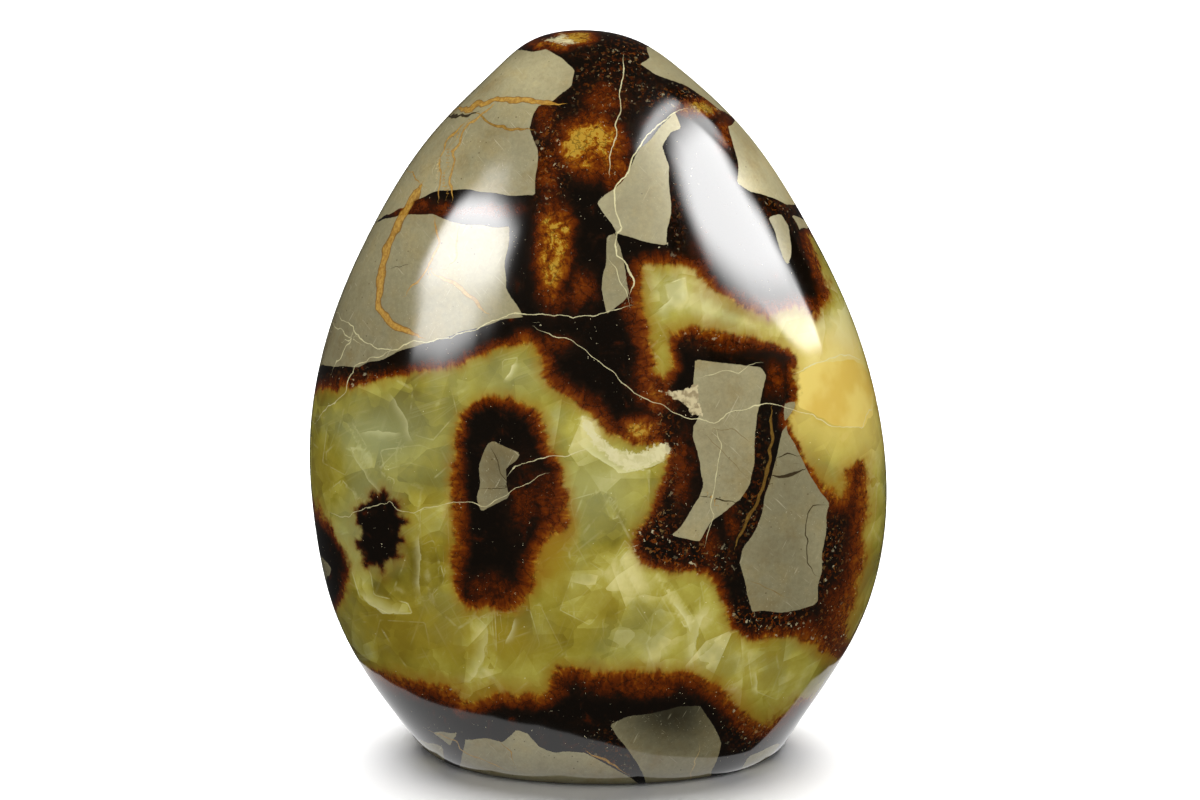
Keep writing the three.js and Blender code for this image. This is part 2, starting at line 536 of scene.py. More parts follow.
def calcite_distance(points):
    """Distance to the edge of the calcite, negative inside it."""
    across, up, behind = bent_sheet(points)
    front = np.full(len(points), FAR_AWAY)
    for outline in CALCITE_POOLS.values():
        front = np.minimum(front, outline_distance(across, up, rounded(outline, CORNER_CUTS)))
    for outline in BROWN_ISLANDS.values():
        front = np.maximum(front, -outline_distance(across, up, rounded(outline, CORNER_CUTS)))
    far = FAR_BAND * (1 + 0.5 * wander(points, 18, seed=8)[:, 0]) - far_block_distance(points)
    return front + (far - front) * smooth_step(behind, FAR_START, FAR_FULL)


calcite_edge = calcite_distance(points)
_, _, behind = on_sheet(points)
lining = FAR_LINING - block_distance - NO_LINING * (1 - smooth_step(behind, 0, LINING_FULL))
slope = np.stack([
    (calcite_distance(points + ROOT_STEP * np.eye(3)[axis]) - calcite_edge) / ROOT_STEP
    for axis in range(3)
], axis=-1)
steepness = np.maximum((slope ** 2).sum(axis=1), LEAST_STEEPNESS)
fibre_root = points - slope * (calcite_edge / steepness)[:, None]
calcite_edge = np.maximum(calcite_edge, lining)
print(f"{(calcite_edge < 0).mean():.0%} of the points lie on calcite")

# %% [markdown]
# ## Healed cracks and rusty veins
#
# Long after the blocks had set, finer cracks ran through the whole stone and healed with
# cream calcite, and iron-rich water left rusty veins in the mudstone. They cross the other
# seams, so they are drawn last and lie over everything. A line keeps a signed distance and a
# half width, which stays crisp between the points of the mesh where a plain colour wouldn't.
# Lines that cross each other are in different layers. On the far side the cracks are wavy
# planes through the stone, as real cracks are.

# %% The first lines
CREAM = 0.0
RUST = 0.5
DARK = 1.0
# Each line: half its width, its tone from cream through rust to dark, and its points.
FIRST_LINES = [
    (0.16, CREAM, [
        (-52.6, 93.4), (-51.4, 91.8), (-49.4, 91), (-48.6, 89.2), (-47.6, 87.8), (-44.2, 86.4),
        (-41.8, 85.6), (-37, 87.8), (-33.6, 87.6), (-24, 90.6), (-20.4, 92.2), (-18.4, 93),
        (-12.2, 93.4), (-9.2, 92.6), (-6, 93), (-2.4, 93), (0.6, 93.2), (4, 94.4), (5.8, 94.8),
    ]),
    (0.26, CREAM, [
        (6.2, 97), (6.8, 100.4), (4.6, 104), (3.4, 105.2), (3, 109), (4.2, 110.2),
        (3.2, 114.6), (3, 117.8), (5.2, 121.2), (6.4, 124.4), (9.6, 129), (14.2, 133),
        (16.6, 134.2),
    ]),
    (0.19, CREAM, [
        (4.8, 145), (5, 143), (4.2, 140), (4, 134.6), (3, 129.2), (2, 124.2), (1.8, 121.2),
    ]),
    (0.15, CREAM, [
        (-12.8, 90.2), (-9.4, 88.8), (-6, 87.8), (-2.6, 86), (0.2, 83.2), (3, 80.8),
        (6.8, 77.6), (9.2, 76.2), (12.2, 75.2), (14.4, 73.4), (18.6, 72.2), (22.6, 71.6),
        (26, 73.4), (29.2, 74.4), (33.2, 75.4), (36.6, 74.4), (39.2, 73.6), (42.4, 72.8),
        (44.8, 71.4), (46.4, 70.6), (49.4, 70.8), (52.4, 70.4), (53.4, 72.8), (54.8, 76.2),
    ]),
    (0.14, CREAM, [(-18.6, 60.8), (-17, 62.8), (-13.4, 63.8), (-10.6, 64.8), (-6.6, 64.8),
                   (-1.6, 66.4)]),
    (0.12, CREAM, [
        (-53.8, 53.4), (-51.8, 52.4), (-42.4, 55.6), (-39.6, 53.6), (-37.2, 53.4),
        (-34, 54.6), (-29.4, 55.6), (-24.8, 55.2), (-22.6, 54.8), (-18.6, 57.4),
        (-13.6, 59.6), (-10.6, 61.4),
    ]),
    (0.5, 0.7, [(-25, 133.4), (-22.8, 132), (-20.6, 130.6), (-18.8, 130.2), (-17, 130.4),
                 (-14.2, 130.2)]),
]
print(len(FIRST_LINES), "lines in the first layer")

# %% The second lines
SECOND_LINES = [
    (0.13, CREAM, [
        (-41.8, 85.6), (-44.2, 84.8), (-48, 83.4), (-49.4, 82.6), (-50.4, 80.2),
        (-50.8, 78), (-51.8, 76.6), (-55, 74.2), (-57.2, 71.4),
    ]),
    (0.14, CREAM, [(5.8, 94.8), (5.4, 97.8), (3.4, 101.2), (2, 104)]),
    (0.12, CREAM, [
        (23.2, 70.2), (24.2, 67.2), (24, 64.2), (23, 60.2), (22.2, 56.2), (22.8, 53.2),
        (21.6, 50.6), (21.2, 47),
    ]),
    (0.11, CREAM, [(20, 80.4), (24.6, 82), (27.6, 81.6), (29.8, 83), (31.8, 83.6)]),
    (0.2, CREAM, [(39.2, 81.4), (41.2, 82.8), (44.4, 83.6), (47.8, 84.8), (52.2, 84.4)]),
    (1.25, RUST, [
        (-35.8, 119), (-38.2, 115.2), (-40.2, 111.4), (-42.6, 106.6), (-43.6, 102),
        (-44.4, 96), (-44, 94.2), (-42.6, 92), (-39.8, 90.2), (-36.4, 88.8),
    ]),
    (0.95, RUST, [(-29, 134), (-26, 134.2), (-24, 135.4), (-20, 136), (-16.6, 136),
                 (-14.6, 135.8), (-11, 135.6), (-8.2, 135.4)]),
    (0.2, DARK, [(45.2, 55), (42.6, 55), (41.6, 53.4), (41.2, 48.8), (41.6, 46.2),
                  (41.4, 43.4), (43.2, 40.8)]),
    (0.26, DARK, [(19.2, 56.8), (22.2, 56.4), (24.6, 55.8), (27.6, 55.4)]),
]
print(len(SECOND_LINES), "lines in the second layer")

# %% The third lines, and the cracks of the far side
THIRD_LINES = [
    (0.42, 0.45, [
        (-21.4, 134.8), (-26, 131.4), (-27.6, 129.4), (-28.2, 127.4), (-29.6, 125.8),
        (-29.2, 124.4), (-29.8, 121.6), (-29.8, 116.6),
    ]),
    (0.36, 0.45, [
        (-26.8, 132), (-28.8, 129.6), (-31, 127.2), (-32, 125), (-31.8, 122.2),
        (-32, 118.8), (-32.4, 116),
    ]),
    (0.1, CREAM, [(-32.6, 123.8), (-33.6, 121)]),
    (0.3, RUST, [(-38.6, 122.2), (-37, 120.4), (-35.4, 119)]),
    (0.5, DARK, [(-31.5, 132.6), (-28, 132.8), (-25, 133.6)]),
    (0.45, RUST, [(-33, 112), (-32.2, 108), (-35.2, 100.8), (-38.8, 97.4)]),
    (0.36, 0.45, [(-28.2, 110.2), (-29, 104.4), (-30, 103)]),
    (0.7, 0.4, [(-33, 101.4), (-29, 99), (-25, 96), (-22.8, 93.4)]),
    (0.6, 0.82, [(34.4, 74), (34.4, 70.4), (34, 64.4), (32.6, 58.2), (29.2, 51.4), (27.2, 47)]),
    (0.12, 0.75, [(29.2, 40.2), (33, 38.6), (37.4, 36.4)]),
    (0.13, DARK, [(-22, 67), (-20.4, 63), (-18, 58.6)]),
    (0.09, 0.8, [(20.2, 70), (25.8, 70.4), (30.2, 67.4)]),
    (0.09, 0.8, [(21, 69), (24, 66), (29, 61)]),
    (0.14, CREAM, [(-54, 92), (-51, 89), (-47.6, 87)]),
    (0.14, CREAM, [(-53.6, 82), (-51, 86), (-49, 90)]),
    (0.65, DARK, [(34.6, 60.4), (37.8, 60.6), (40.8, 62.2)]),
    (0.45, DARK, [(35.8, 64.6), (37.6, 65.4), (39.2, 65)]),
    (0.15, DARK, [(-24, 58), (-17.6, 58.8)]),
    (0.14, DARK, [(-42.2, 102.2), (-37.6, 103.2)]),
    (0.22, 0.4, [(-33.8, 9.8), (-28.6, 7.8), (-28, 6), (-24.8, 4.6), (-18.4, 2)]),
    (0.2, 0.6, [(-19.7, 7.8), (-17.8, 5.3), (-17.2, 2.8)]),
    (0.3, 0.6, [(-2.4, 5.6), (1.6, 3.8), (5.4, 1)]),
    (0.2, 0.3, [(17.4, -2), (18.4, 2), (20, 7)]),
]
# The far side's cracks, one group for each layer of lines: half their width, their tone, and
# the direction and the distance of each one's plane.
FAR_CRACKS = [
    (0.15, CREAM, [((0.25, 0.1, 0.96), 66), ((-0.55, 0.2, 0.81), 84)]),
    (0.22, 0.35, [((0.9, 0.1, 0.42), 48)]),
    (0.13, CREAM, [((0.6, 0.1, -0.79), -64), ((-0.9, 0.2, 0.4), 52)]),
]
print(len(THIRD_LINES), "lines in the third layer, and cracks on", len(FAR_CRACKS), "far layers")

# %% [markdown]
# ## Measuring the lines
#
# Every point of the mesh looks for the line that is nearest to it. It keeps the distance,
# above 0 on the line's left and below 0 on its right, and two numbers that go with that line.
# A crack tapers towards its ends, so the way to the nearer end of the line counts as well.

# %% Hairlines and veins
LINE_REACH = 1.2  # how far from a line it still counts
TAPER = 2.5  # how long the ends of a line are
TIP_WIDTH = 0.35  # the share of its width that a line keeps at its end
LONG_BEND = 5  # how far the far side's cracks bend over 34 mm
SHORT_BEND = 0.9  # and over 6 mm


def nearest_lines(across, up, lines, no_line, describe):
    """For each point: signed distance to the nearest line, and the two numbers about that
    line that describe gives there. Where there is no line, the first of them is no_line."""
    best = np.full(across.shape, FAR_AWAY)
    layer = np.zeros((len(across), 3))
    layer[:, 1] = no_line
    for first, second, line in lines:
        steps = np.hypot(*np.diff(np.array(line).T))
        walked = np.concatenate([[0], np.cumsum(steps)])
        for index, (start, end) in enumerate(zip(line[:-1], line[1:])):
            distance, share = nearest_on_edge(across, up, start, end)
            side = (end[0] - start[0]) * (up - start[1]) - (end[1] - start[1]) * (across - start[0])
            along = walked[index] + share * steps[index]
            to_end = np.minimum(along, walked[-1] - along)
            numbers = describe(first, second, distance, to_end, walked[-1])
            kept = [np.sign(side) * distance, *numbers]
            closer = distance < best
            best = np.where(closer, distance, best)
            layer = np.where(closer[:, None], np.stack(kept, axis=-1), layer)
    return layer


def line_width_and_tone(half_width, tone, distance, to_end, _):
    """Half the width of a line, tapering towards its ends, and its tone."""
    width = half_width * (TIP_WIDTH + (1 - TIP_WIDTH) * smooth_step(to_end, 0, TAPER))
    return width - np.maximum(distance - LINE_REACH, 0), np.full(distance.shape, tone)


def far_crack_layer(half_width, tone, planes, seed):
    """Wavy cracks that run right across the far side, as a layer of lines."""
    bends = LONG_BEND * wander(points, 34, seed)[:, 0]
    bends = bends + SHORT_BEND * wander(points, 6, seed + 1)[:, 0]
    nearest = np.full(len(points), FAR_AWAY)
    for direction, distance in planes:
        away = points @ np.array(direction) - distance + bends
        nearest = np.where(np.abs(away) < np.abs(nearest), away, nearest)
    return np.stack([nearest, np.full(len(points), half_width), np.full(len(points), tone)], -1)


normals = np.empty(3 * len(points))
stone_mesh.vertices.foreach_get("normal", normals)
sight = points - (AIM - AWAY * CAMERA_DISTANCE)
sight /= np.linalg.norm(sight, axis=1)[:, None]
facing = -(normals.reshape(-1, 3) * sight).sum(axis=1)
# Facing is 1 where the surface looks at the camera and 0 where it turns out of sight.
on_front = smooth_step(facing, -0.35, -0.05)
on_back = facing < -0.2
shiver = 0.2 * wander(points, 4, seed=12) + 0.1 * wander(points, 1.6, seed=13)
bent_across, bent_up, _ = on_sheet(points + shiver)
line_layers = []
for number, lines in enumerate((FIRST_LINES, SECOND_LINES, THIRD_LINES)):
    layer = nearest_lines(bent_across, bent_up, lines, -1, line_width_and_tone)
    far_layer = far_crack_layer(*FAR_CRACKS[number], seed=41 + 2 * number)
    line_layers.append(np.where(on_back[:, None], far_layer, layer))
print(f"{on_back.mean():.0%} of the points have the cracks of the far side")

# %% [markdown]
# ## Broken faces in the calcite
#
# Calcite is clear enough to look into, and it is full of flat faces along which it parted.
# A face throws back the light along the edge that is nearest to the surface, and fades as it
# dips away from it. Some show only such an edge, the shards, and some a whole tilted pane,
# the facets.

# %% Shards inside the calcite
# Each shard face: how far its light reaches, how bright it is, and its edge. The light lies
# to the left of the edge, walking from its first point to its last.
FIRST_SHARDS = [
    (2.5, 0.35, [(-37.2, 66.6), (-38.8, 72.2), (-42.4, 78)]),
    (1.2, 0.35, [(-50.6, 66.6), (-46.6, 60.4), (-42.8, 56)]),
    (3.5, 0.6, [(-48.6, 37.8), (-46.2, 35.2), (-43.6, 33.8), (-40.8, 33), (-38, 33.2)]),
    (4, 0.35, [(-29.8, 19.2), (-26.2, 19.6), (-24.6, 21.2), (-23, 24.8), (-22.4, 29),
              (-23, 33)]),
    (2.5, 0.6, [(14, 36), (16.4, 32.8), (18.8, 28.6)]),
    (3, 0.8, [(46.2, 92.4), (48.6, 89.2), (52, 85.4)]),
    (2.5, 0.7, [(14.8, 97), (11.2, 93.8)]),
    (2, 0.8, [(-16.4, 84), (-19.4, 79.8)]),
]
SECOND_SHARDS = [
    (2.5, 0.4, [(-39, 69.4), (-44, 69.8), (-49, 69.4)]),
    (2, 0.4, [(-36, 36), (-36, 44), (-36, 50.6)]),
    (4, 0.45, [(18.8, 21.4), (18.6, 23.8), (19.6, 29.4), (21.8, 35.2)]),
    (2, 0.5, [(-16.8, 32.6), (-19.2, 26.8)]),
    (4, 0.7, [(-6, 70), (-3.8, 66.6), (-2.2, 65.6), (1.6, 63.2), (3.8, 61.2), (8.4, 62.4),
              (13, 63.8), (17, 68)]),
    (1.5, 0.5, [(31.6, 16.8), (31, 21.8)]),
]


def shard_reach_and_light(reach, brightness, distance, to_end, length):
    """A shard's reach, and its brightness, fading towards its ends and away from its edge."""
    fade = smooth_step(to_end, 0, 0.25 * length) * smooth_step(distance, 3 * reach, 1.5 * reach)
    return np.full(distance.shape, reach), brightness * fade


shard_layers = []
for shards in (FIRST_SHARDS, SECOND_SHARDS):
    layer = nearest_lines(bent_across, bent_up, shards, 1, shard_reach_and_light)
    layer[:, 2] *= on_front
    shard_layers.append(layer)
print(len(FIRST_SHARDS) + len(SECOND_SHARDS), "shard faces")

# %% [markdown]
# ## Facets
#
# A facet is a whole pane that tilts, bright at one side and dim at the other, and its edge
# nearest to the light is the brightest of all. So each is drawn as an outline with a
# direction. Where facets lie over each other their light adds up, as it does in clear stone.

# %% Facets of the calcite
# Each facet: how much lighter than the calcite around it, the direction of its bright
# side in degrees (0 is right, 90 up), and its outline.
FACETS = [
    (-0.2, 240, [
        (-50, 75.5), (-41.5, 78), (-40.5, 76.5), (-37, 69.5), (-44, 62.5), (-48, 67),
        (-50.5, 73),
    ]),
    (-0.25, 200, [(-54.5, 71), (-50.5, 72.5), (-48, 66.5), (-51, 61), (-55.5, 63.5)]),
    (0.35, 120, [(-50, 66.5), (-47, 66), (-42, 56.5), (-44.5, 58)]),
    (0.22, 30, [(-54.5, 60), (-49.5, 58), (-48, 53.5), (-51.5, 54)]),
    (0.3, 10, [(-39, 53), (-37, 53.5), (-36, 51), (-38, 47), (-40, 50)]),
    (0.18, 90, [(-36, 54), (-30.5, 55), (-30, 39), (-35.5, 38)]),
    (0.14, 180, [(-36, 44), (-30, 42.5), (-29.5, 37.5), (-37, 35)]),
    (0.8, 250, [
        (-54, 53), (-51, 50.6), (-48, 46), (-45.8, 41), (-45.2, 37), (-38.5, 35.4),
        (-37.6, 33.4), (-42.2, 33.2), (-48, 36.4), (-50.2, 43.6), (-53.2, 49.6),
    ]),
    (-0.3, 330, [(-40, 78), (-30, 79), (-28.6, 73.4), (-33.4, 68), (-37, 69), (-38.5, 73.2)]),
    (0.22, 110, [(-50.4, 71), (-49.4, 71.4), (-43, 60.4), (-42, 56.4), (-43.4, 56.6)]),
    (-0.28, 20, [(-48, 66), (-45, 62), (-41, 60), (-42, 57), (-48, 56), (-50.4, 61)]),
    (0.35, 140, [(-44, 66), (-36, 67), (-31, 65), (-31.4, 61.6), (-38, 63.4), (-43, 62)]),
    (0.3, 60, [(-55.5, 57), (-51.6, 60), (-46.4, 54.6), (-50.6, 50.6)]),
    (-0.35, 0, [(-38, 46), (-33.4, 48), (-31, 40), (-34.6, 35.8), (-38, 36.6)]),
    (0.34, 30, [(-26, 32), (-21, 33.6), (-20.6, 24), (-22.6, 18.8), (-25, 19.8)]),
    (-0.3, 90, [(-21.6, 33.4), (-14, 34), (-12, 27), (-17, 22), (-21.4, 26)]),
    (0.4, 120, [(4, 44), (7, 47.4), (11, 41.6), (16.6, 33), (13.6, 30.6), (8.4, 36)]),
    (-0.3, 90, [(-6, 56), (1, 58), (5.4, 52), (3, 46), (-4, 47)]),
    (0.3, 200, [(-4, 45), (3, 45), (3.6, 38), (-2, 31), (-8, 34)]),
    (0.3, 60, [(2, 62), (10, 62), (9.6, 54), (6, 50.6), (3.6, 55)]),
    (0.25, 0, [
        (-34, 24), (-29.5, 19.5), (-25.5, 19.5), (-23, 25), (-22.5, 30.5), (-25, 33),
        (-31, 32), (-34, 29),
    ]),
    (0.12, 120, [
        (-22.5, 33.5), (-18, 35), (-19, 29), (-16, 23.5), (-15, 19.5), (-22.5, 18),
        (-24.5, 21), (-22.5, 25),
    ]),
    (0.15, 45, [(-18, 34.5), (-12, 35), (-7.5, 26), (-11, 23), (-15.5, 26), (-18.5, 29)]),
    (0.18, 80, [(-10, 70), (-3, 72), (-2.5, 65), (-10.5, 64.5)]),
    (0.5, 90, [(-4, 73), (-1, 72), (0.6, 68), (-1, 65.5), (-3.4, 66.4)]),
    (0.15, 0, [(0, 61.5), (9, 63), (10, 57.5), (2.5, 52.5), (-1, 57)]),
    (0.45, 300, [(0, 59), (3.5, 52.5), (2, 52)]),
    (0.55, 300, [(10.5, 42), (13, 41), (19, 32), (17, 30.5), (15, 34)]),
    (0.3, 170, [
        (20, 40), (24.5, 37), (24, 33), (19.5, 29), (18, 24.5), (17.5, 30.5), (21, 35),
    ]),
    (0.16, 150, [(20, 33), (27, 30), (29, 27.5), (27.5, 17.5), (21, 20), (18.5, 22)]),
    (0.6, 90, [(23, 18.5), (28, 18), (26, 17)]),
    (0.2, 100, [(0.5, 32), (7, 35), (10, 30.5), (6.5, 25.5), (1, 25.5)]),
    (0.16, 10, [(-12, 44), (-4.5, 45), (1, 41.5), (-5.5, 35), (-12, 35)]),
    (-0.15, 0, [(-33, 47), (-30.5, 52), (-30, 44), (-32, 38)]),
    (0.75, 120, [(13, 99), (17, 100.5), (17.5, 96), (16, 93.5), (14, 95.5)]),
    (0.35, 60, [(18, 97), (22.5, 98.5), (24.5, 95), (20.5, 91), (18, 93.5)]),
    (0.3, 90, [(24.5, 94), (29.5, 93.5), (31.5, 90), (25.5, 88.5)]),
    (-0.3, 60, [(32, 93), (35.5, 92.5), (35, 86.5), (32, 88)]),
    (0.4, 160, [(11, 85.5), (13, 83), (13, 80.5), (11, 83)]),
    (0.25, 200, [(29.5, 26), (38, 27), (40, 22.5), (35.5, 16), (30.5, 18)]),
    (0.22, 80, [(5, 48), (8, 44), (10.5, 36), (4, 34), (1, 41)]),
    (-0.18, 90, [(-44, 32), (-35, 31.5), (-34, 26), (-40, 23), (-45.5, 26)]),
    (0.25, 40, [(-8, 76), (-4, 74.5), (-3.5, 72), (-8, 70.5), (-10.5, 73)]),
    (0.3, 110, [(-19.5, 84), (-16.5, 84.5), (-17, 81.5), (-19.5, 79)]),
    (0.2, 0, [(50.5, 55), (53, 52), (52.5, 44), (55, 52), (55.5, 60), (53.5, 62)]),
]
print(len(FACETS), "facets drawn")

# %% The light of the facets
FACET_BLUR = 0.36  # about half of a mesh step
DIM_SIDE = 0.3  # the share of a facet's light that its dim side still has
EDGE_SHINE = 1.15
NOWHERE_NEAR = 50.0


def facet_layer(across, up):
    """For each point: distance to the nearest facet's edge, the facets' light, and the edge's."""
    light = np.zeros(len(across))
    nearest = np.full(len(across), NOWHERE_NEAR)
    edge_light = np.zeros(len(across))
    for brightness, slant, outline in FACETS:
        corners = np.array(outline)
        middle = corners.mean(axis=0)
        direction = np.array([math.cos(math.radians(slant)), math.sin(math.radians(slant))])
        along = (across - middle[0]) * direction[0] + (up - middle[1]) * direction[1]
        half = np.abs((corners - middle) @ direction).max()
        shine = 0.5 + 0.5 * np.clip(along / half, -1, 1)
        distance = outline_distance(across, up, outline)
        cover = smooth_step(-distance, -FACET_BLUR, FACET_BLUR)
        light += brightness * cover * (DIM_SIDE + (1 - DIM_SIDE) * shine)
        closer = np.abs(distance) < np.abs(nearest)
        nearest = np.where(closer, distance, nearest)
        edge_light = np.where(closer, EDGE_SHINE * abs(brightness) * shine ** 2, edge_light)
    return np.stack([nearest, light * on_front, edge_light * on_front], axis=-1)


straight_across, straight_up, _ = on_sheet(points)
facets = facet_layer(straight_across, straight_up)
print("the facets' light goes from", facets[:, 1].min().round(2), "to", facets[:, 1].max().round(2))

# %% [markdown]
# ## Patches, glows and clouds
#
# The three minerals aren't even in themselves. Opaque cream and yellow lie in patches with a
# clear edge. Where the brown is thin, amber light comes through it. The calcite is milky in
# some places, amber in others and greenish where it is clearest, and the brown is a wide soft
# fringe here and a thin, gritty seam there. Soft round spots are enough for all of these,
# because the noises of the material break them up later.

# %% Outlines of the patches
CREAM_PATCHES = [
    [(-3.7, 72.6), (-3.2, 70), (-1.6, 67.4), (0.6, 65.6), (3, 63.2), (5.4, 62), (8.4, 62.4),
     (10.4, 63.6), (12.9, 64), (13.9, 66), (13.4, 67.4), (10.4, 66.8), (8.6, 65.4), (6, 65.2),
     (4.2, 65.8), (1.6, 67), (-0.7, 69.6), (-2, 72)],
    [(-11, 148), (-7.6, 149), (-5, 147.8), (-8, 147)],
]
YELLOW_PATCHES = [[
    (39.5, 81.5), (43, 83.5), (49, 84), (52.5, 83.5), (54, 80), (55, 77), (55, 75), (54, 72),
    (53, 70.5), (50.5, 70.5), (46.5, 71), (42.5, 73), (40, 74.5), (39.5, 77),
]]
CRUMBLY_PATCHES = [
    [(11.6, 77.8), (16.6, 78), (19.6, 79.4), (19.8, 75.4), (20.6, 72.4), (18, 73.4),
     (16, 76.2)],
]
print(len(CREAM_PATCHES + YELLOW_PATCHES + CRUMBLY_PATCHES), "patches")

# %% Glows and clouds
# Each glow or cloud: across, up, half its width, half its height, and its strength.
AMBER_GLOWS = [
    (-5, 148.4, 6, 2.2, 1.1), (-10, 147, 7, 2, 0.8), (-2, 127, 9, 8, 1.2), (3, 122, 4, 6, 0.7),
    (1, 136, 6, 5, 0.5), (-9.4, 105, 5, 14, 1.0), (-8.8, 111, 5, 5, 1.0), (-4, 98, 5, 6, 0.5),
    (-11, 132, 3, 5, 0.6), (-10.4, 121, 3.5, 9, 0.55), (-22, 114, 10, 2.4, 0.5),
    (-38, 114.6, 7, 3, 0.6), (-30, 114, 6, 2.4, 0.5),
    (20, 134.4, 6, 2.4, 1.1), (25, 129, 3, 6, 0.65), (-20, 16, 12, 3, 0.35),
    (8, 18.4, 16, 3, 0.5), (-22, 38, 8, 5, 0.4), (-10, 56, 4, 10, 0.45), (8, 114, 3, 6, 0.4),
    (9.4, 80, 4, 9, 0.6), (12, 88, 3, 8, 0.4), (12, 76, 4, 4, 0.7), (5, 67.4, 4, 2.4, 0.85),
    (-10, 87, 7, 3, 0.5), (16.6, 62, 4, 12, 0.45), (45, 100, 2.5, 9, 0.5), (26, 87, 14, 2.5, 0.4),
    (35, 80, 3, 6, 0.5), (22, 46, 3, 6, 0.45), (-44, 80, 18, 2, 0.35), (20, 102, 4, 10, 0.4),
    (8, 70, 6, 4, 0.9), (26.4, 52, 2, 6, 0.6), (-15, 56, 5, 12, 0.35),
]
PALE_CLOUDS = [
    (16, 98, 12, 8, 1.4), (-2, 70, 8, 6, 0.9), (-42, 72, 10, 9, -0.7), (30, 90, 14, 6, 0.8),
    (4, 40, 10, 8, 0.4), (0, 56, 8, 8, 0.25), (48, 88, 10, 14, 2.0), (52, 68, 8, 12, 0.6),
    (10, 28, 12, 6, 0.4),
    (-48, 58, 8, 7, -0.5), (-41, 46, 5, 9, -0.6),
    (-35, 28, 14, 9, -0.4), (-18, 26, 9, 6, -0.1), (2, 56, 10, 7, 0.2),
    (54, 56, 6, 30, -0.2), (27, 24, 9, 9, 0.6), (36, 20, 9, 8, 0.6), (-15, 80, 8, 6, 0.1),
]
# A cloud of less than no amber is greenish.
AMBER_CLOUDS = [
    (-38, 30, 20, 12, 0.45), (-18, 28, 14, 8, 0.55), (-54, 62, 6, 10, 0.4), (-35, 52, 6, 12, 0.4),
    (28, 24, 14, 10, 0.7), (4, 36, 16, 12, 0.4), (46, 92, 9, 12, 0.4), (-9, 45, 5, 9, 0.9),
    (-46, 68, 8, 6, -0.3),
    (-42, 68, 16, 12, -0.55), (-50, 52, 8, 14, -0.35), (-1, 58, 11, 11, -0.5),
    (-18, 81, 12, 6, -0.45), (24, 96, 12, 6, -0.3), (6, 30, 8, 6, -0.2),
    (-44, 49, 9, 12, -0.4),
]
# How far the brown reaches in from the calcite before it turns black, and how gritty it is.
WIDE_BROWNS = [
    (8, 19, 26, 9, 0.8), (-30, 18, 24, 8, 0.9), (-18, 54, 18, 30, 0.25), (47, 52, 12, 34, 0.75),
    (46, 30, 8, 14, 0.8), (0, 80, 20, 15, 0.35), (24, 94, 24, 8, 0.6), (-2, 100, 18, 20, 0.6),
    (30, 14, 10, 10, 0.7), (-54, 42, 6, 10, -0.25), (-44, 50, 8, 12, -0.55),
    (-8, 47, 6, 12, 1.2), (-17, 40, 8, 8, 0.5), (-28, 52, 4, 16, 0.4),
]
GRITTY_BROWNS = [
    (10, 50, 7, 9, 1.0), (13, 66, 3.5, 14, 0.9), (17, 44, 12, 5, 1.0), (32, 32, 14, 5, 1.0),
    (46, 42, 4, 18, 0.7), (48, 28, 8, 9, 1.0), (22, 136, 16, 4, 1.0), (30, 126, 4, 9, 0.7),
    (2, 140, 10, 10, 0.6), (-10, 125, 5, 14, 0.7), (30, 60, 4, 18, 0.6), (-45, 79, 16, 4, 0.7),
    (8, 146, 10, 5, 0.8), (36, 114, 6, 5, 0.7), (15, 114, 3, 12, 0.4), (25, 90, 14, 4, 0.6),
    (30, 12, 6, 8, 0.8), (-34, 3, 6, 8, 0.4), (2, 4, 6, 8, 0.5),
]
# Where the mudstone is darker or lighter than its block. The first spot, on the foot pane, is
# painted shade where the surface turns down towards the base.
MUD_SHADES = [
    (14, 14, 16, 11, -0.88), (37, 52, 10, 26, -0.2), (43, 46, 4, 9, 0.15), (27, 60, 8, 10, -0.08),
    (-20, 62, 6, 10, -0.34), (-14, 141, 12, 6, 0.25), (-20, 124, 12, 12, -0.2),
    (-50, 88, 14, 14, -0.22), (-38, 96, 10, 16, -0.15), (8, 116, 10, 20, -0.19),
    (34, 122, 8, 10, 0.25), (-12, 3, 14, 6, 0.06),
]
print(len(AMBER_GLOWS + PALE_CLOUDS + AMBER_CLOUDS + WIDE_BROWNS + GRITTY_BROWNS + MUD_SHADES),
      "glows and clouds")

# %% Patches, glows and clouds on the mesh
SPOT_EDGE = 1.25  # where a spot has faded out, as a share of its half width or height
SPOT_FULL = 0.1  # and where it is still at full strength
FAR_WIDE_BROWN = 0.4
FAR_PALE = 0.3


def patch_distance(outlines):
    """Distance to the nearest of several patches, nowhere near on the far side."""
    nearest = np.full(len(points), NOWHERE_NEAR)
    for outline in outlines:
        nearest = np.minimum(nearest, outline_distance(bent_across, bent_up, outline))
    return np.where(on_back, NOWHERE_NEAR, nearest)


def soft_spots(spots, combine):
    """The strength of soft round spots at each point, combined by adding or by the largest."""
    total = np.zeros(len(points))
    for middle_across, middle_up, half_width, half_height, strength in spots:
        apart = np.hypot((bent_across - middle_across) / half_width,
                         (bent_up - middle_up) / half_height)
        total = combine(total, strength * smooth_step(apart, SPOT_EDGE, SPOT_FULL))
    return total * on_front


patches = np.stack([patch_distance(CREAM_PATCHES), patch_distance(YELLOW_PATCHES),
                    patch_distance(CRUMBLY_PATCHES)], axis=-1)
tints = np.stack([soft_spots(AMBER_GLOWS, np.maximum), soft_spots(PALE_CLOUDS, np.add),
                  soft_spots(AMBER_CLOUDS, np.add)], axis=-1)
# The third of the browns holds the mud shades, with the painted shade on the foot pane.
browns = np.stack([soft_spots(WIDE_BROWNS, np.add), soft_spots(GRITTY_BROWNS, np.maximum),
                   soft_spots(MUD_SHADES, np.add)], axis=-1)
far_share = 1 - on_front
browns[:, 0] += FAR_WIDE_BROWN * far_share
tints[:, 1] += FAR_PALE * far_share
browns[:, 1] += far_share * smooth_step(wander(points, 20, seed=21)[:, 0], -0.6, 0.8)
print("glows reach", tints.max(axis=0).round(2))

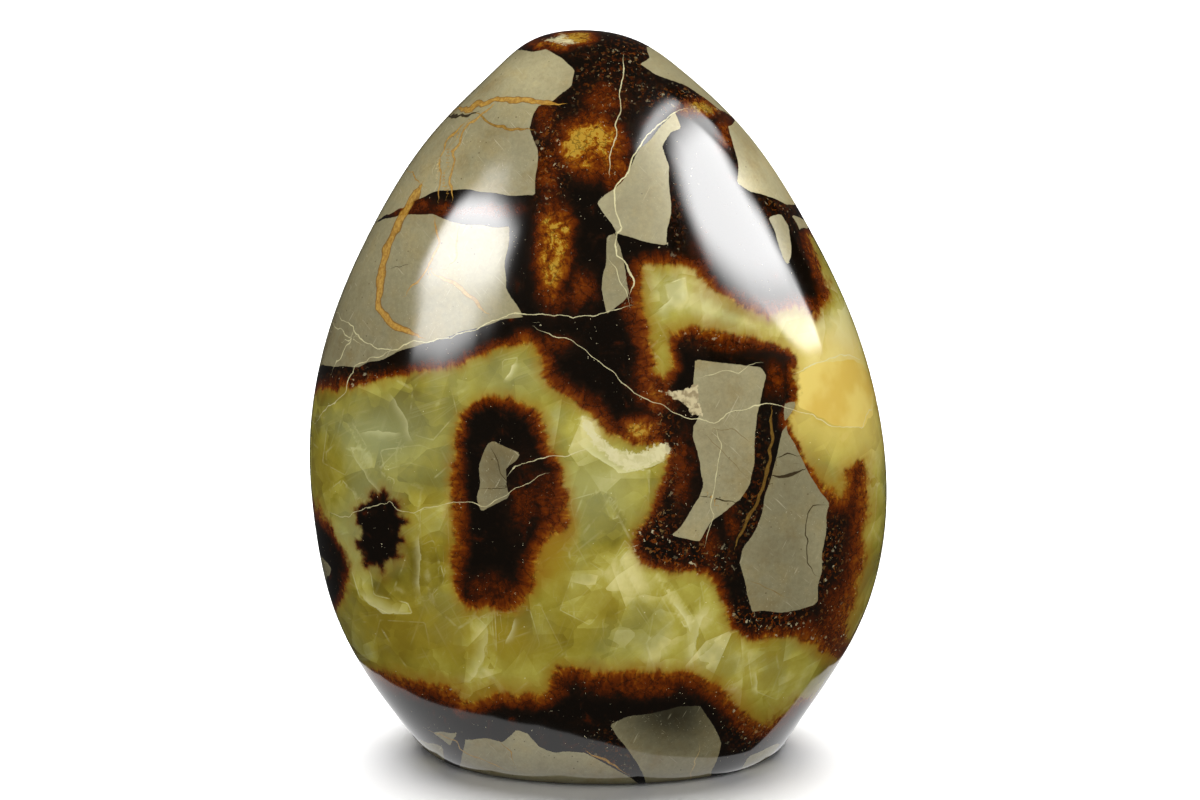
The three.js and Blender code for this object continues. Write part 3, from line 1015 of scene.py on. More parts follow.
# %% [markdown]
# ## Handing the distances to the mesh
#
# A mesh can carry any number or vector on its points as an attribute, and a material can
# read it back with an Attribute node. The distances and places stay in millimetres, because
# numbers near one are easier to think about than thousandths of a metre.

# %% Attributes
def keep(mesh, name, values):
    """One number, or one vector, on each point of a mesh, under this name."""
    values = np.ascontiguousarray(values, np.float32)
    kind, field = ("FLOAT", "value") if values.ndim == 1 else ("FLOAT_VECTOR", "vector")
    mesh.attributes.new(name, kind, "POINT").data.foreach_set(field, values.ravel())


measured = {
    "block_distance": block_distance,
    "calcite_edge": calcite_edge,
    "block_tone": block_tone,
    "block_dullness": block_dullness,
    "place": points,
    "fibre_root": fibre_root,
    "patches": patches,
    "tints": tints,
    "browns": browns,
    "facets": facets,
}
for number, layer in enumerate(line_layers, 1):
    measured[f"line_layer_{number}"] = layer
for number, layer in enumerate(shard_layers, 1):
    measured[f"shard_layer_{number}"] = layer
for name, values in measured.items():
    keep(stone_mesh, name, values)
print(len(stone_mesh.attributes), "attributes on the stone")

# %% [markdown]
# ## A short way to write node trees
#
# A material is a tree of nodes. Written out call by call it is long and hard to read, so a
# small helper adds a node, joins what it is given, and hands back its output. Reading a
# recipe below from top to bottom is then like reading what each step does to the stone.
# Colours are given as mixed on a screen, and a node needs them as amounts of light.


# %% Colours as light
def linear(red, green, blue):
    """A colour as mixed on a screen, 0 to 255 each, as the light it stands for."""
    parts = [value / 255 for value in (red, green, blue)]
    light = [p / 12.92 if p <= 0.04045 else ((p + 0.055) / 1.055) ** 2.4 for p in parts]
    return (*light, 1.0)


print("a grey of 128 stands for", round(linear(128, 128, 128)[0], 3), "of full light")


# %% The recipe helper
class Recipe:
    """The node tree of a material, or of the world around the scene. Each method adds nodes
    and gives back the last one's output."""

    def __init__(self, owner):
        owner.use_nodes = True
        self.nodes = owner.node_tree.nodes
        self.links = owner.node_tree.links
        self.nodes.clear()

    def add(self, kind, **settings):
        """A node of this kind with these settings."""
        node = self.nodes.new("ShaderNode" + kind)
        for name, value in settings.items():
            setattr(node, name, value)
        return node

    def feed(self, socket, value):
        """Joins another node's output to a socket, or sets the socket to a plain value."""
        if isinstance(value, bpy.types.NodeSocket):
            self.links.new(value, socket)
        else:
            socket.default_value = value

    def read(self, name, output="Fac"):
        """What the mesh carries under this name."""
        return self.add("Attribute", attribute_name=name).outputs[output]

    def parts(self, vector):
        """The three numbers of a vector."""
        node = self.add("SeparateXYZ")
        self.feed(node.inputs[0], vector)
        return node.outputs[0], node.outputs[1], node.outputs[2]

    def math(self, operation, *values):
        """One step of arithmetic."""
        node = self.add("Math", operation=operation)
        for socket, value in zip(node.inputs, values):
            self.feed(socket, value)
        return node.outputs[0]

    def chain(self, operation, values):
        """The first value, then one step of arithmetic with each of the others."""
        result = values[0]
        for value in values[1:]:
            result = self.math(operation, result, value)
        return result

    def total(self, *values):
        """All these values added up."""
        return self.chain("ADD", values)

    def times(self, *values):
        """All these values multiplied."""
        return self.chain("MULTIPLY", values)

    def largest(self, *values):
        """The largest of these values."""
        return self.chain("MAXIMUM", values)

    def smallest(self, *values):
        """The smallest of these values."""
        return self.chain("MINIMUM", values)

    def scaled(self, value, factor, offset):
        """A value times a factor, plus an offset."""
        return self.math("MULTIPLY_ADD", value, factor, offset)


print("a recipe has", ", ".join(name for name in vars(Recipe) if not name.startswith("_")))

# %% [markdown]
# ## Patterns for stone
#
# Stone is made of three kinds of pattern: clouds, from a noise; crystals and grains, from
# cells; and streaks, which are either of them drawn out in one direction. A pattern is only
# a grey, so the other helpers cut it off at a level, move places about by it, or turn it
# into colours.


# %% The stone's own recipe helper
MIDDLE_GREY = (0.5, 0.5, 0.5)  # what a coloured noise lies around


class StoneRecipe(Recipe):
    """A recipe with the patterns and colours of stone."""

    def sway(self, value, reach):
        """Turns a noise around one half into a wobble of up to about half the reach."""
        return self.scaled(value, reach, -reach / 2)

    def rise(self, value, zero_at, one_at):
        """0 at one value, 1 at another, either way round, and a smooth change between them."""
        node = self.add("MapRange", interpolation_type="SMOOTHSTEP")
        self.feed(node.inputs["Value"], value)
        self.feed(node.inputs["From Min"], zero_at)
        self.feed(node.inputs["From Max"], one_at)
        return node.outputs["Result"]

    def fading(self, distance, reach):
        """1 at no distance, falling evenly to 0 at the end of the reach."""
        left = self.math("SUBTRACT", 1.0, self.math("DIVIDE", distance, reach))
        return self.smallest(self.largest(left, 0.0), 1.0)

    def stretch(self, place, lengths, turn=(0, 0, 0)):
        """Turns the pattern that reads these places, and draws it out to these lengths."""
        node = self.add("Mapping", vector_type="TEXTURE")
        self.feed(node.inputs["Vector"], place)
        node.inputs["Rotation"].default_value = turn
        node.inputs["Scale"].default_value = lengths
        return node.outputs["Vector"]

    def noise(self, place, size, detail=2.0, roughness=0.5, distortion=0.0, output="Fac"):
        """A cloudy noise around one half, with features of this size in millimetres."""
        node = self.add("TexNoise")
        self.feed(node.inputs["Vector"], place)
        node.inputs["Scale"].default_value = 1 / size
        node.inputs["Detail"].default_value = detail
        node.inputs["Roughness"].default_value = roughness
        node.inputs["Distortion"].default_value = distortion
        return node.outputs[output]

    def cells(self, place, size, output="Distance", **settings):
        """A pattern of cells of this size, by the distance to the nearest middle or edge."""
        node = self.add("TexVoronoi", **settings)
        self.feed(node.inputs["Vector"], place)
        node.inputs["Scale"].default_value = 1 / size
        return node.outputs[output]

    def vector(self, operation, *values, output="Vector"):
        """One step of arithmetic on places or colours."""
        node = self.add("VectorMath", operation=operation)
        for socket, value in zip(node.inputs, values):
            self.feed(socket, value)
        return node.outputs[output]

    def shove(self, place, colour, reach):
        """Moves places about by a coloured noise."""
        centred = self.vector("SUBTRACT", colour, MIDDLE_GREY)
        return self.vector("MULTIPLY_ADD", centred, (reach, reach, reach), place)

    def brighten(self, colour, light):
        """The colour times a number."""
        node = self.add("VectorMath", operation="SCALE")
        self.feed(node.inputs[0], colour)
        self.feed(node.inputs["Scale"], light)
        return node.outputs[0]

    def mix(self, share, first, second):
        """The first colour where the share is 0, the second where it is 1."""
        node = self.add("Mix", data_type="RGBA")
        self.feed(node.inputs["Factor"], share)
        self.feed(node.inputs[6], first)
        self.feed(node.inputs[7], second)
        return node.outputs[2]

    def colours(self, value, stops):
        """A colour for each value, blended between stops that are each a value and a colour."""
        node = self.add("ValToRGB")
        self.feed(node.inputs["Fac"], value)
        ramp = node.color_ramp
        while len(ramp.elements) < len(stops):
            ramp.elements.new(1.0)
        for element, (stop, colour) in zip(ramp.elements, stops):
            element.position = stop
            element.color = colour
        return node.outputs["Color"]


print("for stone, also", ", ".join(name for name in vars(StoneRecipe) if not name.startswith("_")))

# %% [markdown]
# ## Where each mineral lies
#
# The outlines were drawn with a few straight pieces, and a real seam is rough down to a tenth
# of a millimetre. So the distances sway by small noises before they are cut off: by lumps,
# by crumbs, and by teeth that follow the fibres. Two masks come out, one for the calcite and
# one for the mudstone, and whatever is left is brown.

# %% Masks from the distances
stone_material = bpy.data.materials.new("polished_septarian_stone")
recipe = StoneRecipe(stone_material)
place = recipe.read("place", "Vector")
root = recipe.read("fibre_root", "Vector")
block_edge = recipe.read("block_distance")
calcite_edge_here = recipe.read("calcite_edge")
cream_away, yellow_away, crumbly_away = recipe.parts(recipe.read("patches", "Vector"))
glow, pale_cloud, amber_cloud = recipe.parts(recipe.read("tints", "Vector"))
wide_brown, gritty, mud_shade = recipe.parts(recipe.read("browns", "Vector"))
facet_edge, facet_light, facet_edge_light = recipe.parts(recipe.read("facets", "Vector"))

lumps = recipe.noise(place, 3.5, 2)
teeth = recipe.noise(root, 1.1, 3, 0.6)
spikes = recipe.scaled(recipe.smallest(wide_brown, 0.0), 0.5, 2.0)
crumbs = recipe.noise(place, 0.7, 4, 0.65)
into_brown = recipe.total(
    calcite_edge_here, recipe.sway(lumps, 2.6), recipe.sway(crumbs, 0.35),
    recipe.times(recipe.sway(teeth, 1.0), spikes))
calcite_here = recipe.rise(into_brown, 0.55, -0.7)
off_block = recipe.total(block_edge, recipe.sway(crumbs, 0.3))
block_here = recipe.rise(off_block, 0.06, -0.06)
print(len(recipe.nodes), "nodes for the masks")

# %% [markdown]
# ## Grey mudstone
#
# Mudstone is fine clay turned to rock. Polished, it is an even warm grey with faint clouds,
# brownish stains along old damp, small dark grains, and pale scratches from the grinding that
# the soft clay kept. Each block has a tone of its own, which its grey is multiplied by, and
# soft spots make it darker or lighter. The strongest of these is painted shade on the foot
# pane, where the surface turns down towards the base.

# %% Grey mudstone
MUDSTONE = linear(150, 142, 108)
MUDSTONE_WARM = linear(156, 143, 102)
MUDSTONE_DARK = linear(142, 132, 98)
MUD_STAIN = linear(136, 116, 72)
MUD_SPECK = linear(70, 56, 36)
MUD_SCRATCH = linear(190, 182, 150)
mottle = recipe.noise(place, 7.0, 4, 0.55)
mud_grain = recipe.noise(place, 0.9, 4, 0.75)
mudstone = recipe.colours(mottle, [(0.3, MUDSTONE_DARK), (0.5, MUDSTONE), (0.72, MUDSTONE_WARM)])
stains = recipe.rise(recipe.noise(place, 9.0, 5, 0.65), 0.5, 0.7)
mudstone = recipe.mix(recipe.times(stains, 0.5), mudstone, MUD_STAIN)
# The mud shades multiply the grey as well, and they include the painted shade on the foot pane.
block_light = recipe.times(recipe.read("block_tone"), recipe.scaled(mud_grain, 0.64, 0.68),
                           recipe.total(mud_shade, 1.0))
mudstone = recipe.brighten(mudstone, block_light)
for turn in (0.5, -0.8):
    along = recipe.stretch(place, (1, 20, 20), (0.1, turn, 0.0))
    scratch = recipe.rise(recipe.noise(along, 0.25, 1), 0.7, 0.8)
    mudstone = recipe.mix(recipe.times(scratch, 0.4), mudstone, MUD_SCRATCH)
mud_specks = recipe.rise(recipe.cells(place, 2.2), 0.09, 0.05)
mudstone = recipe.mix(recipe.times(mud_specks, 0.7), mudstone, MUD_SPECK)
fine_specks = recipe.rise(recipe.noise(place, 0.3, 1), 0.68, 0.78)
fine_specks = recipe.times(fine_specks, recipe.rise(mottle, 0.4, 0.6))
mudstone = recipe.mix(recipe.times(fine_specks, 0.55), mudstone, MUD_SCRATCH)
print(len(recipe.nodes), "nodes with the mudstone")

# %% [markdown]
# ## Brown aragonite
#
# The lining is dark brown aragonite. Deep inside it is nearly black, and towards the calcite
# it thins out to red brown, orange and amber, as strong tea does towards the edge of a cup.
# One number, the warmth, follows that way in from the edge. Noises and needles stir it, and
# a row of colours turns it into brown. Near some blocks it is crumbly, with grains that each
# have a colour of their own, and small crystal faces glint in it.

# %% Brown aragonite
BLACK = linear(13, 8, 4)
SOOT = linear(26, 14, 6)
DARK_RED = linear(56, 20, 3)
RED_BROWN = linear(94, 38, 3)
ORANGE_BROWN = linear(126, 66, 8)
AMBER = linear(150, 98, 18)
HONEY = linear(172, 134, 44)
TAN = linear(126, 100, 56)
GLINT = linear(206, 196, 158)
brown_cloud = recipe.noise(place, 4.0, 4, 0.6, 0.5)
brown_grain = recipe.noise(place, 1.6, 4, 0.54, 0.8)
needles = recipe.noise(root, 0.7, 3, 0.6)
reach = recipe.scaled(wide_brown, 4.0, 2.8)
brightest = recipe.scaled(recipe.smallest(wide_brown, 0.0), 1.1, 0.82)
near_edge = recipe.times(recipe.fading(into_brown, reach), brightest)
glowing = recipe.times(glow, recipe.scaled(recipe.rise(brown_cloud, 0.25, 0.6), 0.65, 0.45))
patchy = recipe.times(recipe.rise(brown_cloud, 0.52, 0.75), 0.32)
warmth = recipe.largest(near_edge, glowing, patchy)
grain_reach = recipe.scaled(glow, 0.4, 0.7)
texture = recipe.total(
    recipe.times(recipe.sway(brown_grain, 1.0), grain_reach),
    recipe.sway(needles, 0.8), recipe.sway(crumbs, 0.45))
texture = recipe.times(texture, recipe.scaled(warmth, 0.9, 0.22))
brown = recipe.colours(recipe.total(warmth, texture), [
    (0.0, BLACK), (0.16, SOOT), (0.32, DARK_RED), (0.56, RED_BROWN), (0.78, ORANGE_BROWN),
    (0.92, AMBER), (1.0, HONEY)])
shaken = recipe.shove(place, recipe.noise(place, 0.8, 3, output="Color"), 1.6)
clefts = recipe.rise(recipe.cells(shaken, 2.4, feature="DISTANCE_TO_EDGE"), 0.07, 0.0)
brown = recipe.mix(recipe.times(clefts, 0.55), brown, BLACK)
grit_first, grit_second, _ = recipe.parts(recipe.cells(shaken, 0.45, "Color"))
grit_colour = recipe.colours(grit_second, [
    (0.0, BLACK), (0.4, DARK_RED), (0.66, RED_BROWN), (0.84, ORANGE_BROWN), (0.95, TAN),
    (1.0, GLINT)])
grit_share = recipe.times(recipe.rise(grit_first, 0.5, 0.65), recipe.times(gritty, 0.75))
brown = recipe.mix(grit_share, brown, grit_colour)
glints = recipe.times(recipe.rise(recipe.cells(shaken, 1.0), 0.11, 0.05),
                      recipe.rise(recipe.noise(place, 3.0, 2), 0.45, 0.62))
brown = recipe.mix(glints, brown, GLINT)
print(len(recipe.nodes), "nodes with the aragonite")

# %% [markdown]
# ## Yellow calcite
#
# Calcite is clear honey, milky where it is full of tiny flaws. What gives it away is its
# cleavage: it parts along flat faces, so it is all slabs that are lighter on one side. Two
# sizes of slanted cells draw those slabs under the light of the facets. Clouds then turn the
# calcite amber in some places, and greyish or greenish in others.

# %% Yellow calcite
DEEP_OLIVE = linear(104, 92, 22)
OLIVE = linear(144, 133, 44)
LIGHT_OLIVE = linear(176, 166, 74)
PALE = linear(214, 204, 134)
DULL_AMBER = linear(156, 132, 34)
EDGE_AMBER = linear(144, 106, 26)
SHARD_WHITE = linear(222, 218, 162)
GREY_GREEN = linear(116, 118, 72)
MILKY_GREEN = linear(150, 153, 102)


def slanted_cells(places, size, metric):
    """Cells that are each lit from one side, as flat broken faces are, from -0.5 to 0.5."""
    cells = recipe.add("TexVoronoi", distance=metric)
    recipe.feed(cells.inputs["Vector"], places)
    cells.inputs["Scale"].default_value = 1 / size
    from_middle = recipe.vector("SUBTRACT", places, cells.outputs["Position"])
    slant = recipe.vector("SUBTRACT", cells.outputs["Color"], MIDDLE_GREY)
    shine = recipe.vector("DOT_PRODUCT", from_middle, slant, output="Value")
    return recipe.times(shine, 2.0 / size)


drift = recipe.noise(place, 15.0, 3, 0.55)
cloudy = recipe.noise(place, 4.0, 4, 0.6)
tilted = recipe.stretch(place, (1.0, 1.6, 2.0), (0.3, 0.5, 0.4))
crossed = recipe.stretch(place, (2.0, 1.3, 1.0), (0.2, -0.35, 0.9))
calcite_light = recipe.total(
    recipe.scaled(drift, 0.7, 0.15), recipe.sway(cloudy, 0.28),
    recipe.times(pale_cloud, 0.3), recipe.times(facet_light, 0.5),
    recipe.times(slanted_cells(tilted, 8.0, "EUCLIDEAN"), 0.24),
    recipe.times(slanted_cells(crossed, 4.5, "MANHATTAN"), 0.13),
    recipe.sway(crumbs, 0.1))
calcite = recipe.colours(recipe.times(calcite_light, 0.8), [
    (0.16, DEEP_OLIVE), (0.36, OLIVE), (0.53, LIGHT_OLIVE), (0.76, PALE), (1.0, SHARD_WHITE)])
greyness = recipe.rise(recipe.noise(place, 11.0, 3, 0.5), 0.5, 0.68)
calcite = recipe.mix(recipe.times(greyness, 0.42), calcite, GREY_GREEN)
amber_share = recipe.times(amber_cloud, recipe.rise(calcite_light, 0.9, 0.3))
calcite = recipe.mix(amber_share, calcite, DULL_AMBER)
green_share = recipe.largest(recipe.times(amber_cloud, -1.0), 0.0)
calcite = recipe.mix(green_share, calcite, MILKY_GREEN)
print(len(recipe.nodes), "nodes with the body of the calcite")

# %% [markdown]
# ## The light on the broken faces
#
# One number, the share of white, gathers what catches the light: the cleavage, the shards,
# the rims of the facets and a few healed seams. At each point the strongest of them counts,
# because light from two faces that lie over each other doesn't add up to more than white.
# Towards the brown the calcite turns amber, and last come small sparks.

# %% Light on the broken faces
CLEAVAGE_LIGHT = 0.14
# Each set of streaks: its turn in radians, how fine it is, and the size of its patches.
CLEAVAGES = ((0.35, 0.7, 9.0), (1.2, 0.8, 8.0), (-0.5, 0.7, 7.0), (0.9, 1.0, 11.0))


def parallel_streaks(turn, size, mask_size):
    """Thin straight lines side by side, as cleavage shows them, in patches."""
    lines = recipe.noise(recipe.stretch(place, (1, 60, 60), (0.2, turn, 0)), size, 2, 0.6)
    where = recipe.rise(recipe.noise(place, mask_size, 1), 0.48, 0.66)
    return recipe.times(recipe.rise(lines, 0.55, 0.8), where)


light_share = recipe.largest(
    *[recipe.times(parallel_streaks(*streaks), CLEAVAGE_LIGHT) for streaks in CLEAVAGES])
for number in (1, 2):
    shard = recipe.read(f"shard_layer_{number}", "Vector")
    shard_away, shard_reach, shard_light = recipe.parts(shard)
    shard_away = recipe.total(shard_away, recipe.sway(crumbs, 0.35))
    fall = recipe.math("POWER", recipe.fading(shard_away, shard_reach), 2.5)
    lit = recipe.times(recipe.rise(shard_away, -0.12, 0.06), fall, shard_light)
    light_share = recipe.largest(light_share, lit)
rim = recipe.math("ABSOLUTE", recipe.total(facet_edge, recipe.sway(crumbs, 0.12)))
rim = recipe.times(recipe.rise(rim, 0.17, 0.04), facet_edge_light, recipe.rise(cloudy, 0.34, 0.56))
seams = recipe.rise(recipe.cells(tilted, 11.0, feature="DISTANCE_TO_EDGE"), 0.02, 0.004)
seams = recipe.times(seams, recipe.rise(cloudy, 0.45, 0.7), 0.22)
light_share = recipe.largest(light_share, rim, seams)
calcite = recipe.mix(light_share, calcite, SHARD_WHITE)
rim_strength = recipe.smallest(recipe.scaled(wide_brown, 0.5, 0.5), 0.9)
rim_width = recipe.scaled(recipe.largest(wide_brown, 0.0), 1.3, 1.0)
amber_rim = recipe.rise(recipe.math("DIVIDE", into_brown, rim_width), -2.2, 0.3)
amber_rim = recipe.times(amber_rim, rim_strength)
calcite = recipe.mix(amber_rim, calcite, EDGE_AMBER)
sparks = recipe.times(recipe.rise(recipe.cells(place, 1.9), 0.07, 0.03),
                      recipe.rise(recipe.noise(place, 5.0, 1), 0.48, 0.6))
calcite = recipe.mix(sparks, calcite, SHARD_WHITE)
print(len(recipe.nodes), "nodes with the calcite")

# %% [markdown]
# ## One colour from all of them
#
# The minerals are laid over each other with the masks. The yellow patches belong to the
# calcite and go under the mudstone. Crumbly and cream patches lie over everything.

# %% Minerals and patches in one colour
CREAM_COLOUR = linear(216, 208, 160)
YELLOW_COLOUR = linear(224, 200, 108)
YELLOW_DEEP = linear(212, 180, 84)
CRUMBLY_COLOUR = linear(196, 182, 142)
CRUMBLY_GRAIN = linear(104, 84, 52)
colour = recipe.mix(calcite_here, brown, calcite)
yellow_clouds = recipe.rise(recipe.noise(place, 9.0, 3), 0.4, 0.65)
yellow = recipe.mix(yellow_clouds, YELLOW_COLOUR, YELLOW_DEEP)
halo = recipe.times(recipe.rise(yellow_away, 12.0, 0.0), 0.65)
yellow_share = recipe.largest(recipe.rise(yellow_away, 0.15, -0.15), halo)
colour = recipe.mix(recipe.times(yellow_share, calcite_here), colour, yellow)
colour = recipe.mix(block_here, colour, mudstone)
crumbly_grains = recipe.times(recipe.rise(brown_grain, 0.45, 0.6), 0.6)
crumbly = recipe.mix(crumbly_grains, CRUMBLY_COLOUR, CRUMBLY_GRAIN)
crumbly_edge = recipe.total(crumbly_away, recipe.sway(crumbs, 1.6))
colour = recipe.mix(recipe.rise(crumbly_edge, 0.1, -0.1), colour, crumbly)
cream_edge = recipe.total(cream_away, recipe.sway(crumbs, 2.6), recipe.sway(brown_grain, 1.6))
cream_cover = recipe.scaled(recipe.rise(brown_grain, 0.35, 0.6), 0.35, 0.6)
cream_share = recipe.times(recipe.rise(cream_edge, 0.3, -0.3), cream_cover)
colour = recipe.mix(cream_share, colour, CREAM_COLOUR)
print(len(recipe.nodes), "nodes with the patches")

# %% [markdown]
# ## Lines in the colour
#
# A line's edge is jagged and its thickness changes, because crystals grew into it from both
# sides. The rusty veins are smoother and have a darker rim. Each point knows how wide its
# line is and how far off, so what is left between the two tells where the line ends.

# %% Hairlines and veins in the colour
RUST_COLOUR = linear(188, 146, 62)
RUST_DEEP = linear(150, 106, 36)
RUST_RIM = linear(104, 66, 18)
CRACK_COLOUR = linear(46, 34, 16)
jagged = recipe.sway(recipe.noise(place, 1.2, 3, 0.7), 0.32)
broken_up = recipe.noise(place, 2.0, 4, 0.7)
line_strength = recipe.scaled(recipe.noise(place, 3.0, 3, 0.7), 1.4, 0.1)
rust = recipe.mix(recipe.rise(crumbs, 0.35, 0.65), RUST_COLOUR, RUST_DEEP)
for number in (1, 2, 3):
    away, half_width, tone = recipe.parts(recipe.read(f"line_layer_{number}", "Vector"))
    raggedness = recipe.scaled(tone, -1.2, 1.0)
    thickness = recipe.times(recipe.sway(broken_up, 0.8), raggedness)
    thickness = recipe.times(half_width, recipe.total(thickness, 0.6))
    wobble = recipe.times(jagged, raggedness)
    spare = recipe.math("SUBTRACT", thickness, recipe.math("ABSOLUTE", recipe.total(away, wobble)))
    strength = recipe.smallest(recipe.largest(line_strength, recipe.times(tone, 1.8)), 0.95)
    drawn = recipe.times(recipe.rise(spare, -0.04, 0.08), strength)
    rimmed = recipe.rise(recipe.math("DIVIDE", spare, half_width), 0.3, 0.0)
    rimmed = recipe.mix(rimmed, rust, RUST_RIM)
    line_colour = recipe.mix(recipe.rise(tone, 0.0, 0.5), CREAM_COLOUR, rimmed)
    line_colour = recipe.mix(recipe.rise(tone, 0.5, 1.0), line_colour, CRACK_COLOUR)
    colour = recipe.mix(drawn, colour, line_colour)
print(len(recipe.nodes), "nodes with the lines")

# %% [markdown]
# ## Gloss
#
# The wheel left the crystals like glass and the soft mudstone a little duller, so the
# roughness follows the mudstone's mask. Light enters the calcite and comes out again some
# millimetres away. Red light goes furthest, and blue light turns back soonest.

# %% Gloss and the finished material
CRYSTAL_ROUGHNESS = 0.09
STONE_IOR = 1.6  # how strongly it bends light, between glass and garnet
CALCITE_CLEARNESS = 0.2  # the share of the light that goes in before it comes back
LIGHT_REACH = (3.0 * MM, 2.4 * MM, 1.0 * MM)  # of red, green and blue light
dull = recipe.times(block_here, recipe.read("block_dullness"))
roughness = recipe.largest(dull, CRYSTAL_ROUGHNESS)
shader = recipe.add("BsdfPrincipled")
recipe.feed(shader.inputs["Base Color"], colour)
recipe.feed(shader.inputs["Roughness"], roughness)
shader.inputs["IOR"].default_value = STONE_IOR
inside_light = recipe.times(calcite_here, CALCITE_CLEARNESS)
recipe.feed(shader.inputs["Subsurface Weight"], inside_light)
shader.inputs["Subsurface Radius"].default_value = LIGHT_REACH
shader.inputs["Subsurface Scale"].default_value = 1.0
output = recipe.add("OutputMaterial")
recipe.feed(output.inputs["Surface"], shader.outputs["BSDF"])
stone_mesh.materials.append(stone_material)
print(len(recipe.nodes), "nodes in the stone's material")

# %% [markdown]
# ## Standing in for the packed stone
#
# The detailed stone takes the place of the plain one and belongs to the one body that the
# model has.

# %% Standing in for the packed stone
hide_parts("septarian_nodule")
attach(stone, "root")
print("the finished stone spans", [round(value, 3) for value in stone.dimensions], "m")

# %% [markdown]
# ## The studio
#
# Polished stone shows its surroundings, so the studio is mostly made of things to reflect.
# Two large panels in front, left and right, give the white highlights, and a pale card on
# the table gives the veil over the stone's foot. They only appear in reflections; soft lamps
# that don't appear in reflections light the stone evenly. The room that the stone reflects
# beside them is nearly dark, and the one that the camera sees behind the stone is white.

# %% Floor and backdrop
# The floor sends no light back up: the lamps and the table card do that part by themselves.
FLOOR_SIZE = 8.0  # metres
FLOOR_COLOUR = (0.86, 0.86, 0.86, 1)
FLOOR_ROUGHNESS = 0.9
ROOM_LIGHT = 0.03
WHITE = (1, 1, 1, 1)


def studio_sheet(name, corners, faces, material):
    """A flat piece of the studio, which isn't part of the model."""
    mesh = bpy.data.meshes.new(name)
    mesh.from_pydata(corners, [], faces)
    mesh.materials.append(material)
    sheet = bpy.data.objects.new(name, mesh)
    bpy.context.scene.collection.objects.link(sheet)
    return sheet


floor_material = bpy.data.materials.new("pale_floor")
dull_floor = Recipe(floor_material)
paint = dull_floor.add("BsdfPrincipled")
paint.inputs["Base Color"].default_value = FLOOR_COLOUR
paint.inputs["Roughness"].default_value = FLOOR_ROUGHNESS
dull_floor.feed(dull_floor.add("OutputMaterial").inputs["Surface"], paint.outputs["BSDF"])
floor_corners = [(across * FLOOR_SIZE / 2, deep * FLOOR_SIZE / 2, 0)
                 for across, deep in ((-1, -1), (1, -1), (1, 1), (-1, 1))]
floor = studio_sheet("floor", floor_corners, [(0, 1, 2, 3)], floor_material)
floor.visible_glossy = False
floor.visible_diffuse = False

world = bpy.data.worlds.new("studio_room")
bpy.context.scene.world = world
room = Recipe(world)
seen = room.add("Background")
seen.inputs["Color"].default_value = WHITE
unseen = room.add("Background")
unseen.inputs["Color"].default_value = (ROOM_LIGHT, ROOM_LIGHT, ROOM_LIGHT, 1)
either = room.add("MixShader")
room.feed(either.inputs["Fac"], room.add("LightPath").outputs["Is Camera Ray"])
room.feed(either.inputs[1], unseen.outputs[0])
room.feed(either.inputs[2], seen.outputs[0])
room.feed(room.add("OutputWorld").inputs["Surface"], either.outputs[0])
print("floor of", FLOOR_SIZE, "m laid")

# %% [markdown]
# ## Panels to be reflected
#
# A highlight on a polished stone is the reflection of a window. Its edge is crisp where the
# window's frame is, and soft where a curtain hangs. So each panel is drawn as outlines, each
# with a softness and a brightness of its own. The veil over the stone's foot is the white
# table around it, which the steep foot shows like a mirror.

# %% How a panel is made
PANEL_DISTANCE = 600
PANEL_CENTRE = np.array([0.0, 0.0, 100.0])  # what the panels turn to
PANEL_STEP = 8.0  # between the points of a panel


def direction_towards(azimuth, elevation):
    """A unit vector to that azimuth, with 0 in front, and that elevation, in degrees."""
    turn, lift = math.radians(azimuth), math.radians(elevation)
    return np.array([math.sin(turn) * math.cos(lift), -math.cos(turn) * math.cos(lift),
                     math.sin(lift)])


def glowing_material(name, brightness):
    """Gives light, less towards its edge, by the attribute named fade."""
    material = bpy.data.materials.new(name)
    lamp = Recipe(material)
    light = lamp.add("Emission")
    lamp.feed(light.inputs["Strength"], lamp.times(lamp.read("fade"), brightness))
    lamp.feed(lamp.add("OutputMaterial").inputs["Surface"], light.outputs[0])
    return material


def only_reflected(sheet, fade):
    """Makes a sheet glow as told by fade, seen in reflections and by nothing else."""
    keep(sheet.data, "fade", fade)
    for sees_it in ("visible_camera", "visible_diffuse", "visible_shadow", "visible_transmission"):
        setattr(sheet, sees_it, False)


def facing_panel(name, azimuth, elevation, brightness, layers):
    """A flat panel that faces the stone. Each layer is a share of the brightness, how far it
    fades across its outline, and the outline, as seen from the stone."""
    outward = direction_towards(azimuth, elevation)
    rightward = np.cross(outward, (0, 0, 1))
    rightward /= np.linalg.norm(rightward)
    upward = np.cross(rightward, outward)
    low = np.min([np.min(outline, axis=0) - soft for _, soft, outline in layers], axis=0)
    high = np.max([np.max(outline, axis=0) + soft for _, soft, outline in layers], axis=0)
    counts = np.ceil((high - low) / PANEL_STEP).astype(int) + 1
    right, up = np.meshgrid(np.linspace(low[0], high[0], counts[0]),
                            np.linspace(low[1], high[1], counts[1]))
    corners = (PANEL_CENTRE + outward * PANEL_DISTANCE
               + right[..., None] * rightward + up[..., None] * upward)
    index = np.arange(right.size).reshape(right.shape)
    faces = np.stack([index[:-1, :-1], index[:-1, 1:], index[1:, 1:], index[1:, :-1]], -1)
    fade = np.zeros(right.size)
    for share, soft, outline in layers:
        inside = -outline_distance(right.ravel(), up.ravel(), outline)
        fade = np.maximum(fade, share * smooth_step(inside, -soft / 2, soft / 2))
    panel = studio_sheet(name, (corners.reshape(-1, 3) * MM).tolist(),
                         faces.reshape(-1, 4).tolist(), glowing_material(name, brightness))
    only_reflected(panel, fade)


print("the left panel hangs towards", direction_towards(-42, 20).round(2))

